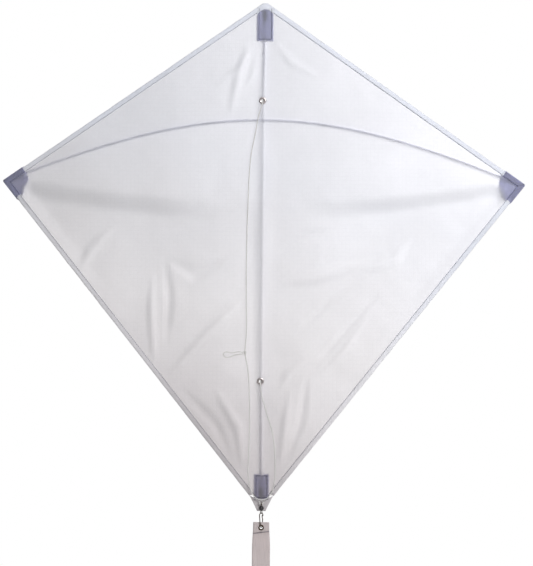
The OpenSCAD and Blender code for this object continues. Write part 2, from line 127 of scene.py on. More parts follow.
# The tow loop lies out to the left of its knot.
TOW_LOOP = (
    (-0.0262, -0.0034, -0.4511), (-0.0295, -0.0034, -0.4499), (-0.0340, -0.0034, -0.4502),
    (-0.0390, -0.0034, -0.4514), (-0.0440, -0.0034, -0.4506), (-0.0480, -0.0034, -0.4502),
    (-0.0508, -0.0034, -0.4524), (-0.0500, -0.0034, -0.4556), (-0.0466, -0.0034, -0.4572),
    (-0.0420, -0.0034, -0.4564), (-0.0360, -0.0034, -0.4542), (-0.0300, -0.0034, -0.4530),
    (-0.0268, -0.0034, -0.4526),
)
TOW_KNOT = Vector((-0.0230, -0.0034, -0.4510))

# Soft folds of the sail as ((x, z) points, half width, depth). Backwards is positive.
FOLDS = (
    (((-0.013, -0.047), (-0.030, -0.078), (-0.062, -0.105)), 0.008, 0.0008),
    (((0.013, -0.047), (0.034, -0.072), (0.070, -0.092)), 0.008, 0.0008),
    (((-0.010, -0.052), (-0.016, -0.090), (-0.034, -0.120)), 0.006, 0.0006),
    (((-0.021, -0.048), (-0.034, -0.092), (-0.044, -0.140)), 0.009, 0.0015),
    (((0.024, -0.130), (0.030, -0.146), (0.052, -0.160)), 0.006, 0.0007),
    (((-0.144, -0.350), (-0.145, -0.400), (-0.141, -0.470)), 0.007, 0.0015),
    (((-0.128, -0.330), (-0.122, -0.380), (-0.126, -0.440)), 0.008, -0.0012),
    (((-0.195, -0.290), (-0.225, -0.320), (-0.240, -0.350)), 0.010, 0.0014),
    (((-0.030, -0.385), (-0.070, -0.425), (-0.120, -0.480)), 0.009, 0.0014),
    (((-0.050, -0.330), (-0.090, -0.350), (-0.125, -0.330)), 0.012, -0.0012),
    (((0.045, -0.425), (0.085, -0.385), (0.130, -0.355)), 0.0055, -0.0008),
    (((0.062, -0.475), (0.100, -0.430), (0.150, -0.372)), 0.0055, -0.0010),
    (((0.075, -0.480), (0.108, -0.445), (0.135, -0.405)), 0.0050, 0.0008),
    (((0.026, -0.360), (0.070, -0.352), (0.140, -0.330)), 0.012, 0.0013),
    (((0.020, -0.320), (0.050, -0.300), (0.090, -0.290)), 0.008, -0.0008),
    (((0.190, -0.300), (0.170, -0.330), (0.120, -0.345)), 0.012, 0.0010),
    (((-0.024, -0.600), (-0.030, -0.550), (-0.060, -0.500)), 0.009, 0.0016),
    (((-0.040, -0.590), (-0.062, -0.545), (-0.105, -0.500)), 0.010, -0.0013),
    (((0.023, -0.600), (0.030, -0.550), (0.036, -0.500)), 0.007, 0.0013),
    (((0.033, -0.590), (0.050, -0.540), (0.058, -0.480)), 0.008, -0.0012),
    (((0.022, -0.500), (0.034, -0.478), (0.056, -0.462)), 0.007, 0.0009),
)

# Every fold is deepened by this, and felt only this far above and below its middle.
FOLD_DEPTH = 2.4
FOLD_REACH = 0.10

# Small unevenness of the cloth, as (fineness, depth).
CREASES = ((1.0, 0.0014), (3.1, 0.0006), (6.3, 0.00045))

# Below a line from wing tip to wing tip, higher at the tips, the cloth steps forward.
# LEFT and RIGHT say how much narrower and shallower the step is at each tip.
SLACK_Z = -0.250
SLACK_RISE = 0.029
SLACK_END = 0.22
SLACK_WIDTH = 0.032
SLACK_DEPTH = 0.0150
SLACK_LEFT = (0.08, 0.05)
SLACK_RIGHT = (0.35, 0.48)

# A narrow ridge in the cloth, a little left of the spine.
RIDGE_X = -0.0105
RIDGE_HALF = 0.006
RIDGE_DEPTH = 0.0007

# Wing patches: round, about a centre inside the tip.
PATCH_R = 30 * MM
PATCH_IN = 3 * MM
TUNNEL = 2.85 * MM

# Small parts. The snap hangs turned about its upright line, and the pockets' thread is
# thicker than the hems', with stitches shorter by as much.
LINE_R = 0.6 * MM
SNAP_WIRE_R = 0.60 * MM
SNAP_TURN = math.radians(52)
EYELET_HOLE = 1.9 * MM
POCKET_SEAM = 1.7

# Shares of the light that come through.
WEBBING_PASSES = 0.55
ROD_PASSES = 0.88
RIBBON_PASSES = 0.22

FINISHES = {}


# ---------------------------------------------------------------- settings


class KiteSailSettings(bpy.types.PropertyGroup):
    """Cloth of the sail and its hems."""

    grid: FloatProperty(
        name="Mesh size", description="Distance between the points of the sail's mesh",
        default=3.4 * MM, min=2 * MM, max=20 * MM, unit="LENGTH")
    rip_pitch: FloatProperty(
        name="Ripstop pitch", description="Distance between the cloth's thick threads",
        default=5.2 * MM, min=2 * MM, max=12 * MM, unit="LENGTH")
    hem_width: FloatProperty(
        name="Hem width", description="Width of the folded hem",
        default=6.5 * MM, min=4 * MM, max=10 * MM, unit="LENGTH")
    fold_scale: FloatProperty(
        name="Folds", description="Depth of the soft folds, as a share of their usual depth",
        default=1.0, min=0.0, max=2.0)
    front_colour: FloatVectorProperty(
        name="Cloth", description="Colour of light that the cloth sends back",
        default=(0.180, 0.180, 0.190), subtype="COLOR", min=0, max=1)
    through_colour: FloatVectorProperty(
        name="Light through", description="Colour of light that comes through the cloth",
        default=(0.560, 0.555, 0.565), subtype="COLOR", min=0, max=1)


class KiteTrimSettings(bpy.types.PropertyGroup):
    """Webbing, thread and lines."""

    webbing: FloatVectorProperty(
        name="Webbing", description="Colour of the pockets' webbing",
        default=(0.52, 0.52, 0.60), subtype="COLOR", min=0, max=1)
    thread: FloatVectorProperty(
        name="Thread", description="Colour of the sewing thread",
        default=(0.030, 0.030, 0.075), subtype="COLOR", min=0, max=1)
    line: FloatVectorProperty(
        name="Line", description="Colour of the bridle line",
        default=(0.74, 0.73, 0.70), subtype="COLOR", min=0, max=1)
    stitch: FloatProperty(
        name="Stitch length", description="Distance from one stitch to the next",
        default=3.0 * MM, min=1.5 * MM, max=6 * MM, unit="LENGTH")
    thread_d: FloatProperty(
        name="Thread thickness", description="Diameter of the sewing thread",
        default=0.42 * MM, min=0.2 * MM, max=0.8 * MM, unit="LENGTH")


class KiteMetalSettings(bpy.types.PropertyGroup):
    """Rods and fittings."""

    nickel: FloatVectorProperty(
        name="Nickel", description="Colour of the sail's eyelets",
        default=(0.74, 0.67, 0.66), subtype="COLOR", min=0, max=1)
    brass: FloatVectorProperty(
        name="Brass", description="Colour of the tarnished wire and the tail's eyelet",
        default=(0.115, 0.072, 0.042), subtype="COLOR", min=0, max=1)
    barrel: FloatVectorProperty(
        name="Barrel", description="Colour of the swivel's blackened barrel",
        default=(0.018, 0.013, 0.016), subtype="COLOR", min=0, max=1)
    rod: FloatVectorProperty(
        name="Rod", description="Colour of the fibreglass rods",
        default=(0.70, 0.70, 0.66), subtype="COLOR", min=0, max=1)


class KiteTailSettings(bpy.types.PropertyGroup):
    """The ribbon tail."""

    length: FloatProperty(
        name="Length", description="Length of the ribbon as cut",
        default=2.0, min=0.5, max=4.0, unit="LENGTH")
    runs: IntProperty(
        name="Runs", description="How many times the ribbon runs along the hank",
        default=17, min=5, max=25)
    colour: FloatVectorProperty(
        name="Ribbon", description="Colour of the ribbon",
        default=(0.72, 0.64, 0.63), subtype="COLOR", min=0, max=1)


class KiteStageSettings(bpy.types.PropertyGroup):
    """Camera, lights and floor."""

    distance: FloatProperty(
        name="Camera distance", description="Distance from the camera to the sail",
        default=5.5, min=2.0, max=20.0, unit="LENGTH")
    view_height: FloatProperty(
        name="View height", description="Height of the view at the sail",
        default=0.7358, min=0.2, max=3.0, unit="LENGTH")
    roll: FloatProperty(
        name="Roll", description="Turn of the camera about its line of sight",
        default=math.radians(0.48), min=-0.2, max=0.2, unit="ROTATION")
    sky: FloatProperty(
        name="Surrounding light", description="Strength of the even light from all round",
        default=0.33, min=0.0, max=3.0)
    back: FloatProperty(
        name="Back light", description="Power of the soft light behind the sail",
        default=12.4, min=0.0, max=100.0)
    front: FloatProperty(
        name="Front light", description="Power of the soft light in front of the sail",
        default=14.0, min=0.0, max=100.0)


# ---------------------------------------------------------------- shapes


def smooth(low, high, value):
    """0 at low, 1 at high, and an eased step between them."""
    t = min(1.0, max(0.0, (value - low) / (high - low)))
    return t * t * (3 - 2 * t)


def spline(points, per, closed=False):
    """Catmull-Rom points through the given ones, per of them to each span."""
    p = [Vector(q) for q in points]
    if closed:
        p = [p[-1], *p, p[0], p[1]]
    else:
        p = [2 * p[0] - p[1], *p, 2 * p[-1] - p[-2]]
    made = []
    for a, b, c, d in zip(p, p[1:], p[2:], p[3:]):
        for k in range(per):
            t = k / per
            made.append(0.5 * (2 * b + (c - a) * t + (2 * a - 5 * b + 4 * c - d) * t * t
                               + (3 * b - a - 3 * c + d) * t * t * t))
    if not closed:
        made.append(p[-2])
    return made


def between(a, b, steps):
    """Evenly spaced values or points from a to b, both included."""
    return [a + (b - a) * k / steps for k in range(steps + 1)]


def spar_z(x):
    """Height of the bent cross spar's line."""
    return CROWN_Z - SPAR_RISE * (1 - math.cos(math.pi * x / (2 * HALF_SPAN)))


def spar_point(x):
    """A point on the bent cross spar's own line."""
    lean = x * LEAN / MM
    bow = 0.7 * MM * (x / SPAR_END_X) ** 2
    return Vector((x, 1.9 * MM + math.sqrt(1 + lean * lean) * MM + bow, spar_z(x)))


def spine_y(z):
    """The spine lies straight in its pockets and passes behind the cross spar."""
    if z > CROWN_Z:
        t = (z - NOSE_MOUTH) / (CROWN_Z - NOSE_MOUTH)
    else:
        t = (z - TAIL_MOUTH) / SPINE_EASE
    return END_Y + (CROSSING_Y - END_Y) * (1 - math.cos(math.pi * min(1, max(0, t)))) / 2


def length(points):
    """Length of a line through points."""
    return sum((Vector(b) - Vector(a)).length for a, b in zip(points, points[1:]))


def marks(points):
    """How far along its line each point lies."""
    made = [0.0]
    for a, b in zip(points, points[1:]):
        made.append(made[-1] + (b - a).length)
    return made


def fold_here(x, z, line, half_width, depth):
    """How far one fold pushes the cloth back at a place, its ends tapering to nothing."""
    place = Vector((x, z))
    best = None
    total = length(line)
    run = 0.0
    for a, b in zip(line, line[1:]):
        a, b = Vector(a), Vector(b)
        step = b - a
        t = min(1.0, max(0.0, (place - a).dot(step) / step.length_squared))
        away = (place - a - step * t).length
        if best is None or away < best[0]:
            best = (away, (run + t * step.length) / total)
        run += step.length
    away, share = best
    swell = math.sin(math.pi * min(1.0, max(0.0, share)))
    width = half_width * (0.45 + 0.55 * swell)
    if away >= width:
        return 0.0
    return depth * (0.15 + 0.85 * swell) * (1 - (away / width) ** 2) ** 2


def edge_distance(x, z):
    """Distance from a place on the sail to its nearest long edge."""
    arm = Vector((abs(x), z)) - TIP
    return min(abs(arm.x * edge.y - arm.y * edge.x) for edge in (UP_EDGE, LOW_EDGE))


def sail_y(x, z, scale=1.0):
    """Depth of the sail's front at a place: a shallow V, with soft folds away from the rods."""
    base = abs(x) * LEAN
    if scale == 0:
        return base
    push = FOLD_DEPTH * sum(
        fold_here(x, z, *fold) for fold in FOLDS if abs(z - fold[0][1][1]) < FOLD_REACH)
    place = Vector((x * 9, 0.3, z * 9))
    push += sum(depth * noise.noise(place * fineness) for fineness, depth in CREASES)
    push -= slack(x, z)
    return base + scale * (looseness(x, z) * push - ridge(x, z))


def looseness(x, z):
    """0 where the rods, the hems and the wing pockets hold the cloth, 1 well away from them."""
    free = smooth(0.004, 0.022, abs(z - spar_z(x))) * smooth(0.003, 0.018, abs(x))
    edge = edge_distance(x, z)
    held = 0.008 * (1 - smooth(0.009, 0.016, edge))
    free *= smooth(0.016 + held, 0.040 + held, (Vector((abs(x), z)) - TIP).length)
    return free * (0.45 + 0.55 * smooth(0.002, 0.024, edge))


def slack(x, z):
    """How far the cloth bellies forward below the line between the wing tips."""
    share = abs(x) / HALF_SPAN
    narrower, shallower = SLACK_LEFT if x < 0 else SLACK_RIGHT
    under = SLACK_Z + SLACK_RISE * (share / 0.94) ** 2.2 - z
    width = SLACK_WIDTH * (1 - narrower * share)
    step = SLACK_DEPTH * (1 - shallower * share) * (0.12 + 0.88 * smooth(0.03, 0.17, abs(x)))
    return step * smooth(0, width, under) * (1 - smooth(width, SLACK_END, under))


def ridge(x, z):
    """How far the cloth stands forward in a narrow ridge beside the spine."""
    if z >= -0.24:
        return 0.0
    along = smooth(0.24, 0.32, -z) * smooth(0.60, 0.55, -z)
    return RIDGE_DEPTH * along * max(0.0, 1 - (abs(x - RIDGE_X) / RIDGE_HALF) ** 2) ** 2


def sweep(bm, points, radius, sides=10, closed=False):
    """A round tube along points: circles bridged one to the next, with a UV map."""
    count = len(points)
    rings, turn, last = [], None, None
    for i, point in enumerate(points):
        ahead = points[(i + 1) % count] if closed else points[min(i + 1, count - 1)]
        behind = points[i - 1] if closed or i else points[0]
        along = (ahead - behind).normalized()
        if turn is None:
            turn = along.to_track_quat("Z", "Y")
        else:
            turn = last.rotation_difference(along) @ turn
        last = along
        place = Matrix.LocRotScale(point, turn, None)
        rings.append(bmesh.ops.create_circle(
            bm, segments=sides, radius=radius, matrix=place)["verts"])
    pairs = list(zip(rings, rings[1:]))
    if closed:
        pairs.append((rings[-1], rings[0]))
    lengths = marks(points)
    spot = {vert: (i, j) for i, ring in enumerate(rings) for j, vert in enumerate(ring)}
    uv = bm.loops.layers.uv.verify()
    for a, b in pairs:
        for j in range(sides):
            k = (j + 1) % sides
            face = bm.faces.new((a[j], a[k], b[k], b[j]))
            face.smooth = True
            for loop in face.loops:
                i, m = spot[loop.vert]
                around = sides if m == 0 and j == sides - 1 else m
                loop[uv].uv = (lengths[i], around / sides)
    if not closed:
        for ring in (rings[0][::-1], rings[-1]):
            bm.faces.new(ring)


def turned(bm, profile, matrix, steps=40):
    """A ring or bead: a profile of (radius, height) points spun about Z."""
    verts = [bm.verts.new((r, 0, h)) for r, h in profile]
    edges = [bm.edges.new(pair) for pair in zip(verts, verts[1:])]
    bmesh.ops.spin(
        bm, geom=verts + edges, cent=(0, 0, 0), axis=(0, 0, 1), angle=2 * math.pi,
        steps=steps, use_merge=True)
    fresh = [v for v in bm.verts if not v.tag]
    bmesh.ops.remove_doubles(bm, verts=fresh, dist=1e-7)
    fresh = [v for v in bm.verts if not v.tag]
    bmesh.ops.transform(bm, matrix=matrix, verts=fresh)
    for v in fresh:
        v.tag = True
    faces = {f for v in fresh for f in v.link_faces}
    bmesh.ops.recalc_face_normals(bm, faces=list(faces))


def round_piece(name, points, radius, sides, material, body, replaced=(), closed=False):
    """A named piece of round wire, line or rod along points."""
    bm = bmesh.new()
    sweep(bm, points, radius, sides, closed)
    return finish_piece(name, bm, material, body, replaced)


def stitch_row(bm, points, pitch, thickness):
    """A row of short stitches along a line, each a flattened bead."""
    walk = 0.0
    whole = length(points)
    count = max(1, round(whole / pitch))
    step = whole / count
    centres = [(k + 0.5) * step for k in range(count)]
    places = []
    for a, b in zip(points, points[1:]):
        span = (b - a).length
        while centres and centres[0] <= walk + span + 1e-9:
            at = a.lerp(b, (centres.pop(0) - walk) / span)
            turn = (b - a).to_track_quat("Z", "Y")
            size = Vector((thickness / 2, thickness / 2, 0.42 * step))
            places.append(Matrix.LocRotScale(at, turn, size))
        walk += span
    batch = 20
    for start in range(0, len(places), batch):
        few, mesh = bmesh.new(), bpy.data.meshes.new("few")
        for place in places[start:start + batch]:
            bmesh.ops.create_uvsphere(few, u_segments=6, v_segments=4, radius=1, matrix=place)
        few.to_mesh(mesh)
        few.free()
        bm.from_mesh(mesh)
        bpy.data.meshes.remove(mesh)


def finish_piece(name, bm, material, body, replaced=()):
    """Turns a bmesh into a named piece that rides on a body."""
    mesh = bpy.data.meshes.new(name)
    bm.to_mesh(mesh)
    bm.free()
    mesh.shade_smooth()
    mesh.materials.append(material)
    piece = bpy.data.objects.new(name, mesh)
    bpy.context.scene.collection.objects.link(piece)
    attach(piece, body)
    if replaced:
        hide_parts(*replaced)
    return piece


def thicken(piece, thickness, offset):
    """Gives a sheet its thickness. Offset 1 grows it along its normals and -1 against them."""
    wall = piece.modifiers.new("Thickness", "SOLIDIFY")
    wall.thickness = thickness
    wall.offset = offset


def net(columns, rows):
    """A grid whose points run over 0 to 1 in X and Y, to be bent into shape."""
    bm = bmesh.new()
    bmesh.ops.create_grid(
        bm, x_segments=columns, y_segments=rows, size=0.5,
        matrix=Matrix.Translation((0.5, 0.5, 0)))
    return bm


def turn_faces(faces, towards):
    """Turns the faces of a sheet one way: -1 to the front, along -Y, and 1 to the back."""
    for face in faces:
        face.normal_update()
        if face.normal.y * towards < 0:
            face.normal_flip()


def with_rim(faces):
    """Faces with their vertices and edges, as cutting them needs."""
    return list(dict.fromkeys(part for f in faces for part in (f, *f.verts, *f.edges)))


def punch(bm, centre, radius, sides, is_near, is_hole):
    """Cuts a round hole: straight cuts through the faces near it, then clears its inside."""
    for k in range(sides):
        a = 2 * math.pi * (k + 0.5) / sides
        out = Vector((math.cos(a), 0, math.sin(a)))
        bmesh.ops.bisect_plane(
            bm, geom=with_rim([f for f in bm.faces if is_near(f.calc_center_median())]),
            plane_co=Vector((centre.x, 0, centre.z)) + out * radius, plane_no=out)
    hole = [f for f in bm.faces if is_hole(f.calc_center_median())]
    bmesh.ops.delete(bm, geom=hole, context="FACES")


# ---------------------------------------------------------------- finishes


class Finish:
    """A material under construction: short calls that add and join its nodes."""

    def __init__(self, name):
        self.material = bpy.data.materials.new(name)
        self.material.use_nodes = True
        self.tree = self.material.node_tree
        self.tree.nodes.clear()
        self.out = self.tree.nodes.new("ShaderNodeOutputMaterial")

    def add(self, kind, inputs=None, **settings):
        made = self.tree.nodes.new("ShaderNode" + kind)
        for key, value in settings.items():
            setattr(made, key, value)
        for key, value in (inputs or {}).items():
            if isinstance(value, bpy.types.NodeSocket):
                self.tree.links.new(value, made.inputs[key])
            else:
                made.inputs[key].default_value = value
        return made

    def math(self, operation, a, b=0.0, c=0.0):
        return self.add("Math", {0: a, 1: b, 2: c}, operation=operation).outputs[0]

    def place(self, source="Object"):
        return self.add("TexCoord").outputs[source]

    def split(self, vector):
        return self.add("SeparateXYZ", {0: vector}).outputs

    def noise(self, vector, scale, detail=3.0, roughness=0.5):
        return self.add("TexNoise", {
            "Vector": vector, "Scale": scale, "Detail": detail,
            "Roughness": roughness}).outputs["Fac"]

    def stretch(self, vector, scale):
        return self.add("Mapping", {"Vector": vector, "Scale": scale}).outputs[0]

    def spread(self, value, low, high, to_low, to_high):
        return self.add("MapRange", {
            "Value": value, "From Min": low, "From Max": high,
            "To Min": to_low, "To Max": to_high}).outputs[0]

    def vary(self, value, low, high):
        """Spreads a noise's usual range over the given one."""
        return self.spread(value, 0.3, 0.7, low, high)

    def waves(self, value, pitch):
        return self.math("SINE", self.math("MULTIPLY", value, 2 * math.pi / pitch))

    def line(self, value, pitch, width):
        """1 on lines a pitch apart and 0 between them."""
        wave = self.math("ABSOLUTE", self.math("SUBTRACT", self.math(
            "FRACT", self.math("MULTIPLY", value, 1 / pitch)), 0.5))
        return self.spread(wave, width / pitch, 0.4 * width / pitch, 0.0, 1.0)

    def ramp(self, value, *stops):
        ramp = self.add("ValToRGB", {"Fac": value})
        elements = ramp.color_ramp.elements
        while len(elements) < len(stops):
            elements.new(0.5)
        for element, (position, colour) in zip(elements, stops):
            element.position = position
            element.color = (*colour, 1)
        return ramp.outputs["Color"]

    def tint(self, colour, value):
        """A colour times a value that varies over the surface."""
        shade = self.add("CombineXYZ", {0: value, 1: value, 2: value}).outputs[0]
        return self.times((*colour, 1), shade)

    def times(self, a, b):
        """One colour of the surface times another."""
        return self.add(
            "Mix", {6: a, 7: b, 0: 1.0}, data_type="RGBA", blend_type="MULTIPLY").outputs[2]

    def bump(self, height, distance, strength=1.0, normal=None):
        inputs = {"Height": height, "Distance": distance, "Strength": strength}
        if normal is not None:
            inputs["Normal"] = normal
        return self.add("Bump", inputs).outputs[0]

    def surface(self, inputs, glow=None, passed=0.0):
        """Ends the finish. With a glow, the passed share of the light comes through it."""
        last = self.add("BsdfPrincipled", inputs)
        if glow:
            through = self.add("BsdfTranslucent", glow)
            last = self.add("MixShader", {0: passed, 1: last.outputs[0], 2: through.outputs[0]})
        self.tree.links.new(last.outputs[0], self.out.inputs["Surface"])
        return self.material


def grey(colour, share):
    """The same colour, lighter or darker."""
    return tuple(c * share for c in colour)


# Painted shade: the cloth's colour darkens downwards and a little to the left, where the light
# falls off. Heights and colours of that.
PAINTED_SHADE_REACH = (-0.62, -0.16)
PAINTED_SHADE = (
    (0.0, (0.68, 0.635, 0.62)), (0.30, (0.90, 0.87, 0.855)),
    (0.55, (1.0, 0.985, 0.97)), (1.0, (0.95, 0.96, 0.975)),
)


def ripstop(name, front, through, pitch, share=0.5):
    """Thin woven cloth with a square net of thick threads, which lets light through."""
    f = Finish(name)
    place = f.place()
    x, _, z = f.split(place)
    net_lines = f.math("MAXIMUM", f.line(x, pitch, 0.55 * MM), f.line(z, pitch, 0.55 * MM))
    soft = f.noise(place, 9.0, 2.0)
    fine = f.noise(place, 240.0, 2.0)
    thread = 0.42 * MM
    weave = f.math("MULTIPLY", f.waves(x, thread), f.waves(z, thread))
    tone = f.math("ADD", f.vary(soft, 0.965, 1.02), f.vary(fine, -0.012, 0.012))
    front_tone = f.math("ADD", tone, f.math("MULTIPLY", net_lines, 0.04))
    through_tone = f.math("SUBTRACT", tone, f.math("MULTIPLY", net_lines, 0.032))
    # Painted shade: the colour is darker towards the bottom and the left, standing in for how the
    # light falls.
    leaning = f.math("ADD", f.math("MULTIPLY", x, 0.40), f.math(
        "ADD", z, f.math("MULTIPLY", soft, 0.10)))
    painted_shade = f.ramp(f.spread(leaning, *PAINTED_SHADE_REACH, 0.0, 1.0), *PAINTED_SHADE)
    height = f.math("ADD", f.math("MULTIPLY", weave, 0.25), net_lines)
    normal = f.bump(height, 0.06 * MM, 0.6, f.bump(soft, 1.2 * MM, 0.35))
    return f.surface({
        "Base Color": f.times(painted_shade, f.tint(grey(front, 1 / share), front_tone)),
        "Roughness": 0.62, "Specular IOR Level": 0.22, "Sheen Weight": 0.05,
        "Normal": normal,
    }, {
        "Color": f.times(painted_shade, f.tint(grey(through, 1 / (1 - share)), through_tone)),
        "Normal": normal,
    }, 1 - share)


def solid_finish(name, colour, roughness, coat=0.0):
    """An opaque finish: a slightly uneven colour, and a coat if it is lacquered."""
    f = Finish(name)
    tone = f.vary(f.noise(f.place(), 120.0), 0.92, 1.06)
    return f.surface({
        "Base Color": f.tint(colour, tone), "Roughness": roughness, "Coat Weight": coat})


def webbing_finish(name, colour, through=(0.72, 0.73, 0.98), pitch=1.15 * MM):
    """Woven tape: ribs across a coarser warp, a slight fuzz, and some light let through."""
    f = Finish(name)
    place = f.place()
    x, _, z = f.split(place)
    weave = f.math("MULTIPLY", f.waves(x, pitch), f.waves(z, 0.8 * pitch))
    fuzz = f.noise(place, 900.0, 3.0)
    tone = f.math("ADD", f.spread(weave, -1.0, 1.0, 0.86, 1.08), f.vary(fuzz, -0.07, 0.07))
    tone = f.math("MULTIPLY", tone, f.vary(f.noise(place, 60.0), 0.93, 1.06))
    normal = f.bump(f.math("ADD", weave, f.math("MULTIPLY", fuzz, 0.5)), 0.16 * MM, 0.7)
    return f.surface({
        "Base Color": f.tint(colour, tone), "Roughness": 0.82, "Sheen Weight": 0.12,
        "Specular IOR Level": 0.25, "Normal": normal,
    }, {"Color": f.tint(through, tone), "Normal": normal}, WEBBING_PASSES)


def braid_finish(name, colour, pitch, strands=4.0):
    """Twisted line: strands that wind along the piece's own UV map, with shade painted into the
    grooves between them.
    """
    f = Finish(name)
    along, around, _ = f.split(f.place("UV"))
    turn = f.math("ADD", f.math("MULTIPLY", along, 1 / pitch), f.math("MULTIPLY", around, strands))
    strand = f.math("ABSOLUTE", f.math("SUBTRACT", f.math("FRACT", turn), 0.5))
    fuzz = f.noise(f.place(), 1500.0, 2.0)
    # Painted shade: the colour darkens towards each strand's edge, in the grooves between strands.
    tone = f.math("ADD", f.spread(strand, 0.0, 0.5, 1.05, 0.74), f.vary(fuzz, -0.06, 0.06))
    return f.surface({
        "Base Color": f.tint(colour, tone), "Roughness": 0.7, "Specular IOR Level": 0.3,
        "Sheen Weight": 0.1, "Normal": f.bump(strand, -0.10 * MM, 0.9)})


def metal_finish(name, colour, roughness, tarnish=0.35):
    """Worn metal: cloudy tarnish over the bright base, and fine scratches."""
    f = Finish(name)
    place = f.place()
    cloud = f.noise(place, 900.0, 4.0)
    tone = f.spread(cloud, 0.32, 0.68, 1.08, 1.0 - tarnish)
    rough = f.vary(cloud, roughness * 0.8, min(1.0, roughness * 1.5))
    scratches = f.noise(f.stretch(place, (1.0, 1.0, 0.15)), 5200.0, 2.0)
    return f.surface({
        "Base Color": f.tint(colour, tone), "Metallic": 1.0, "Roughness": rough,
        "Normal": f.bump(scratches, 0.02 * MM, 0.5)})


def rod_finish(name, colour, axis):
    """Pultruded fibreglass: pale, with long fibres along the rod, and mostly let through."""
    f = Finish(name)
    scale = [1.0, 1.0, 1.0]
    scale[axis] = 0.012
    fibres = f.noise(f.stretch(f.place(), scale), 2600.0, 4.0)
    cloud = f.noise(f.place(), 30.0, 2.0)
    tone = f.math("ADD", f.vary(fibres, 0.84, 1.08), f.vary(cloud, -0.05, 0.05))
    return f.surface({
        "Base Color": f.tint(colour, tone), "Roughness": 0.42, "Coat Weight": 0.25,
        "Coat Roughness": 0.3, "Normal": f.bump(fibres, 0.05 * MM, 0.5),
    }, {"Color": f.tint((0.93, 0.93, 1.0), tone)}, ROD_PASSES)


def finishes(scene):
    """Makes each finish once and keeps it for the pieces that share it."""
    if FINISHES:
        return FINISHES
    sail, trim, metal, tail = (
        scene.kite_sail, scene.kite_trim, scene.kite_metal, scene.kite_tail)
    pitch = sail.rip_pitch
    FINISHES.update({
        "cloth": ripstop("ripstop_cloth", sail.front_colour, sail.through_colour, pitch),
        "hem": ripstop("hem_cloth", (0.66, 0.665, 0.69), (0.28, 0.28, 0.29), pitch, 0.70),
        "webbing": webbing_finish("grey_webbing", trim.webbing),
        "thread": solid_finish("sewing_thread", trim.thread, 0.7),
        "line": braid_finish("white_line", trim.line, 2.4 * MM),
        "cord": braid_finish("white_cord", grey(trim.line, 1.05), 2.8 * MM),
        "nickel": metal_finish("nickel_eyelet", metal.nickel, 0.28),
        "brass": metal_finish("tarnished_brass", metal.brass, 0.40, 0.55),
        "barrel": solid_finish("blackened_barrel", metal.barrel, 0.36, 0.2),
        "spine": rod_finish("fibreglass_spine", metal.rod, 2),
        "spar": rod_finish("fibreglass_spar", metal.rod, 0),
        "vinyl": solid_finish("black_vinyl", (0.035, 0.035, 0.04), 0.5),
        "ribbon": ribbon_finish("tail_ribbon_cloth", tail.colour),
        "tie": webbing_finish("white_tie", (0.62, 0.61, 0.58), (0.40, 0.40, 0.38), 0.9 * MM),
    })
    return FINISHES


def ribbon_finish(name, colour):
    """Thin woven ribbon, crinkled along its length, which lets a little light through."""
    f = Finish(name)
    along, across, _ = f.split(f.place("UV"))
    fine = f.noise(f.stretch(f.place("UV"), (60.0, 900.0, 1.0)), 1.0, 3.0)
    thread = 0.55 * MM
    weave = f.math("MULTIPLY", f.waves(across, thread), f.waves(along, thread))
    tone = f.math("ADD", f.vary(fine, 0.93, 1.05), f.math("MULTIPLY", weave, 0.03))
    normal = f.bump(f.math("ADD", fine, f.math("MULTIPLY", weave, 0.2)), 0.25 * MM, 0.6)
    shade = f.tint(colour, tone)
    return f.surface({
        "Base Color": shade, "Roughness": 0.6, "Sheen Weight": 0.08,
        "Specular IOR Level": 0.3, "Normal": normal,
    }, {"Color": shade, "Normal": normal}, RIBBON_PASSES)


# ---------------------------------------------------------------- pieces


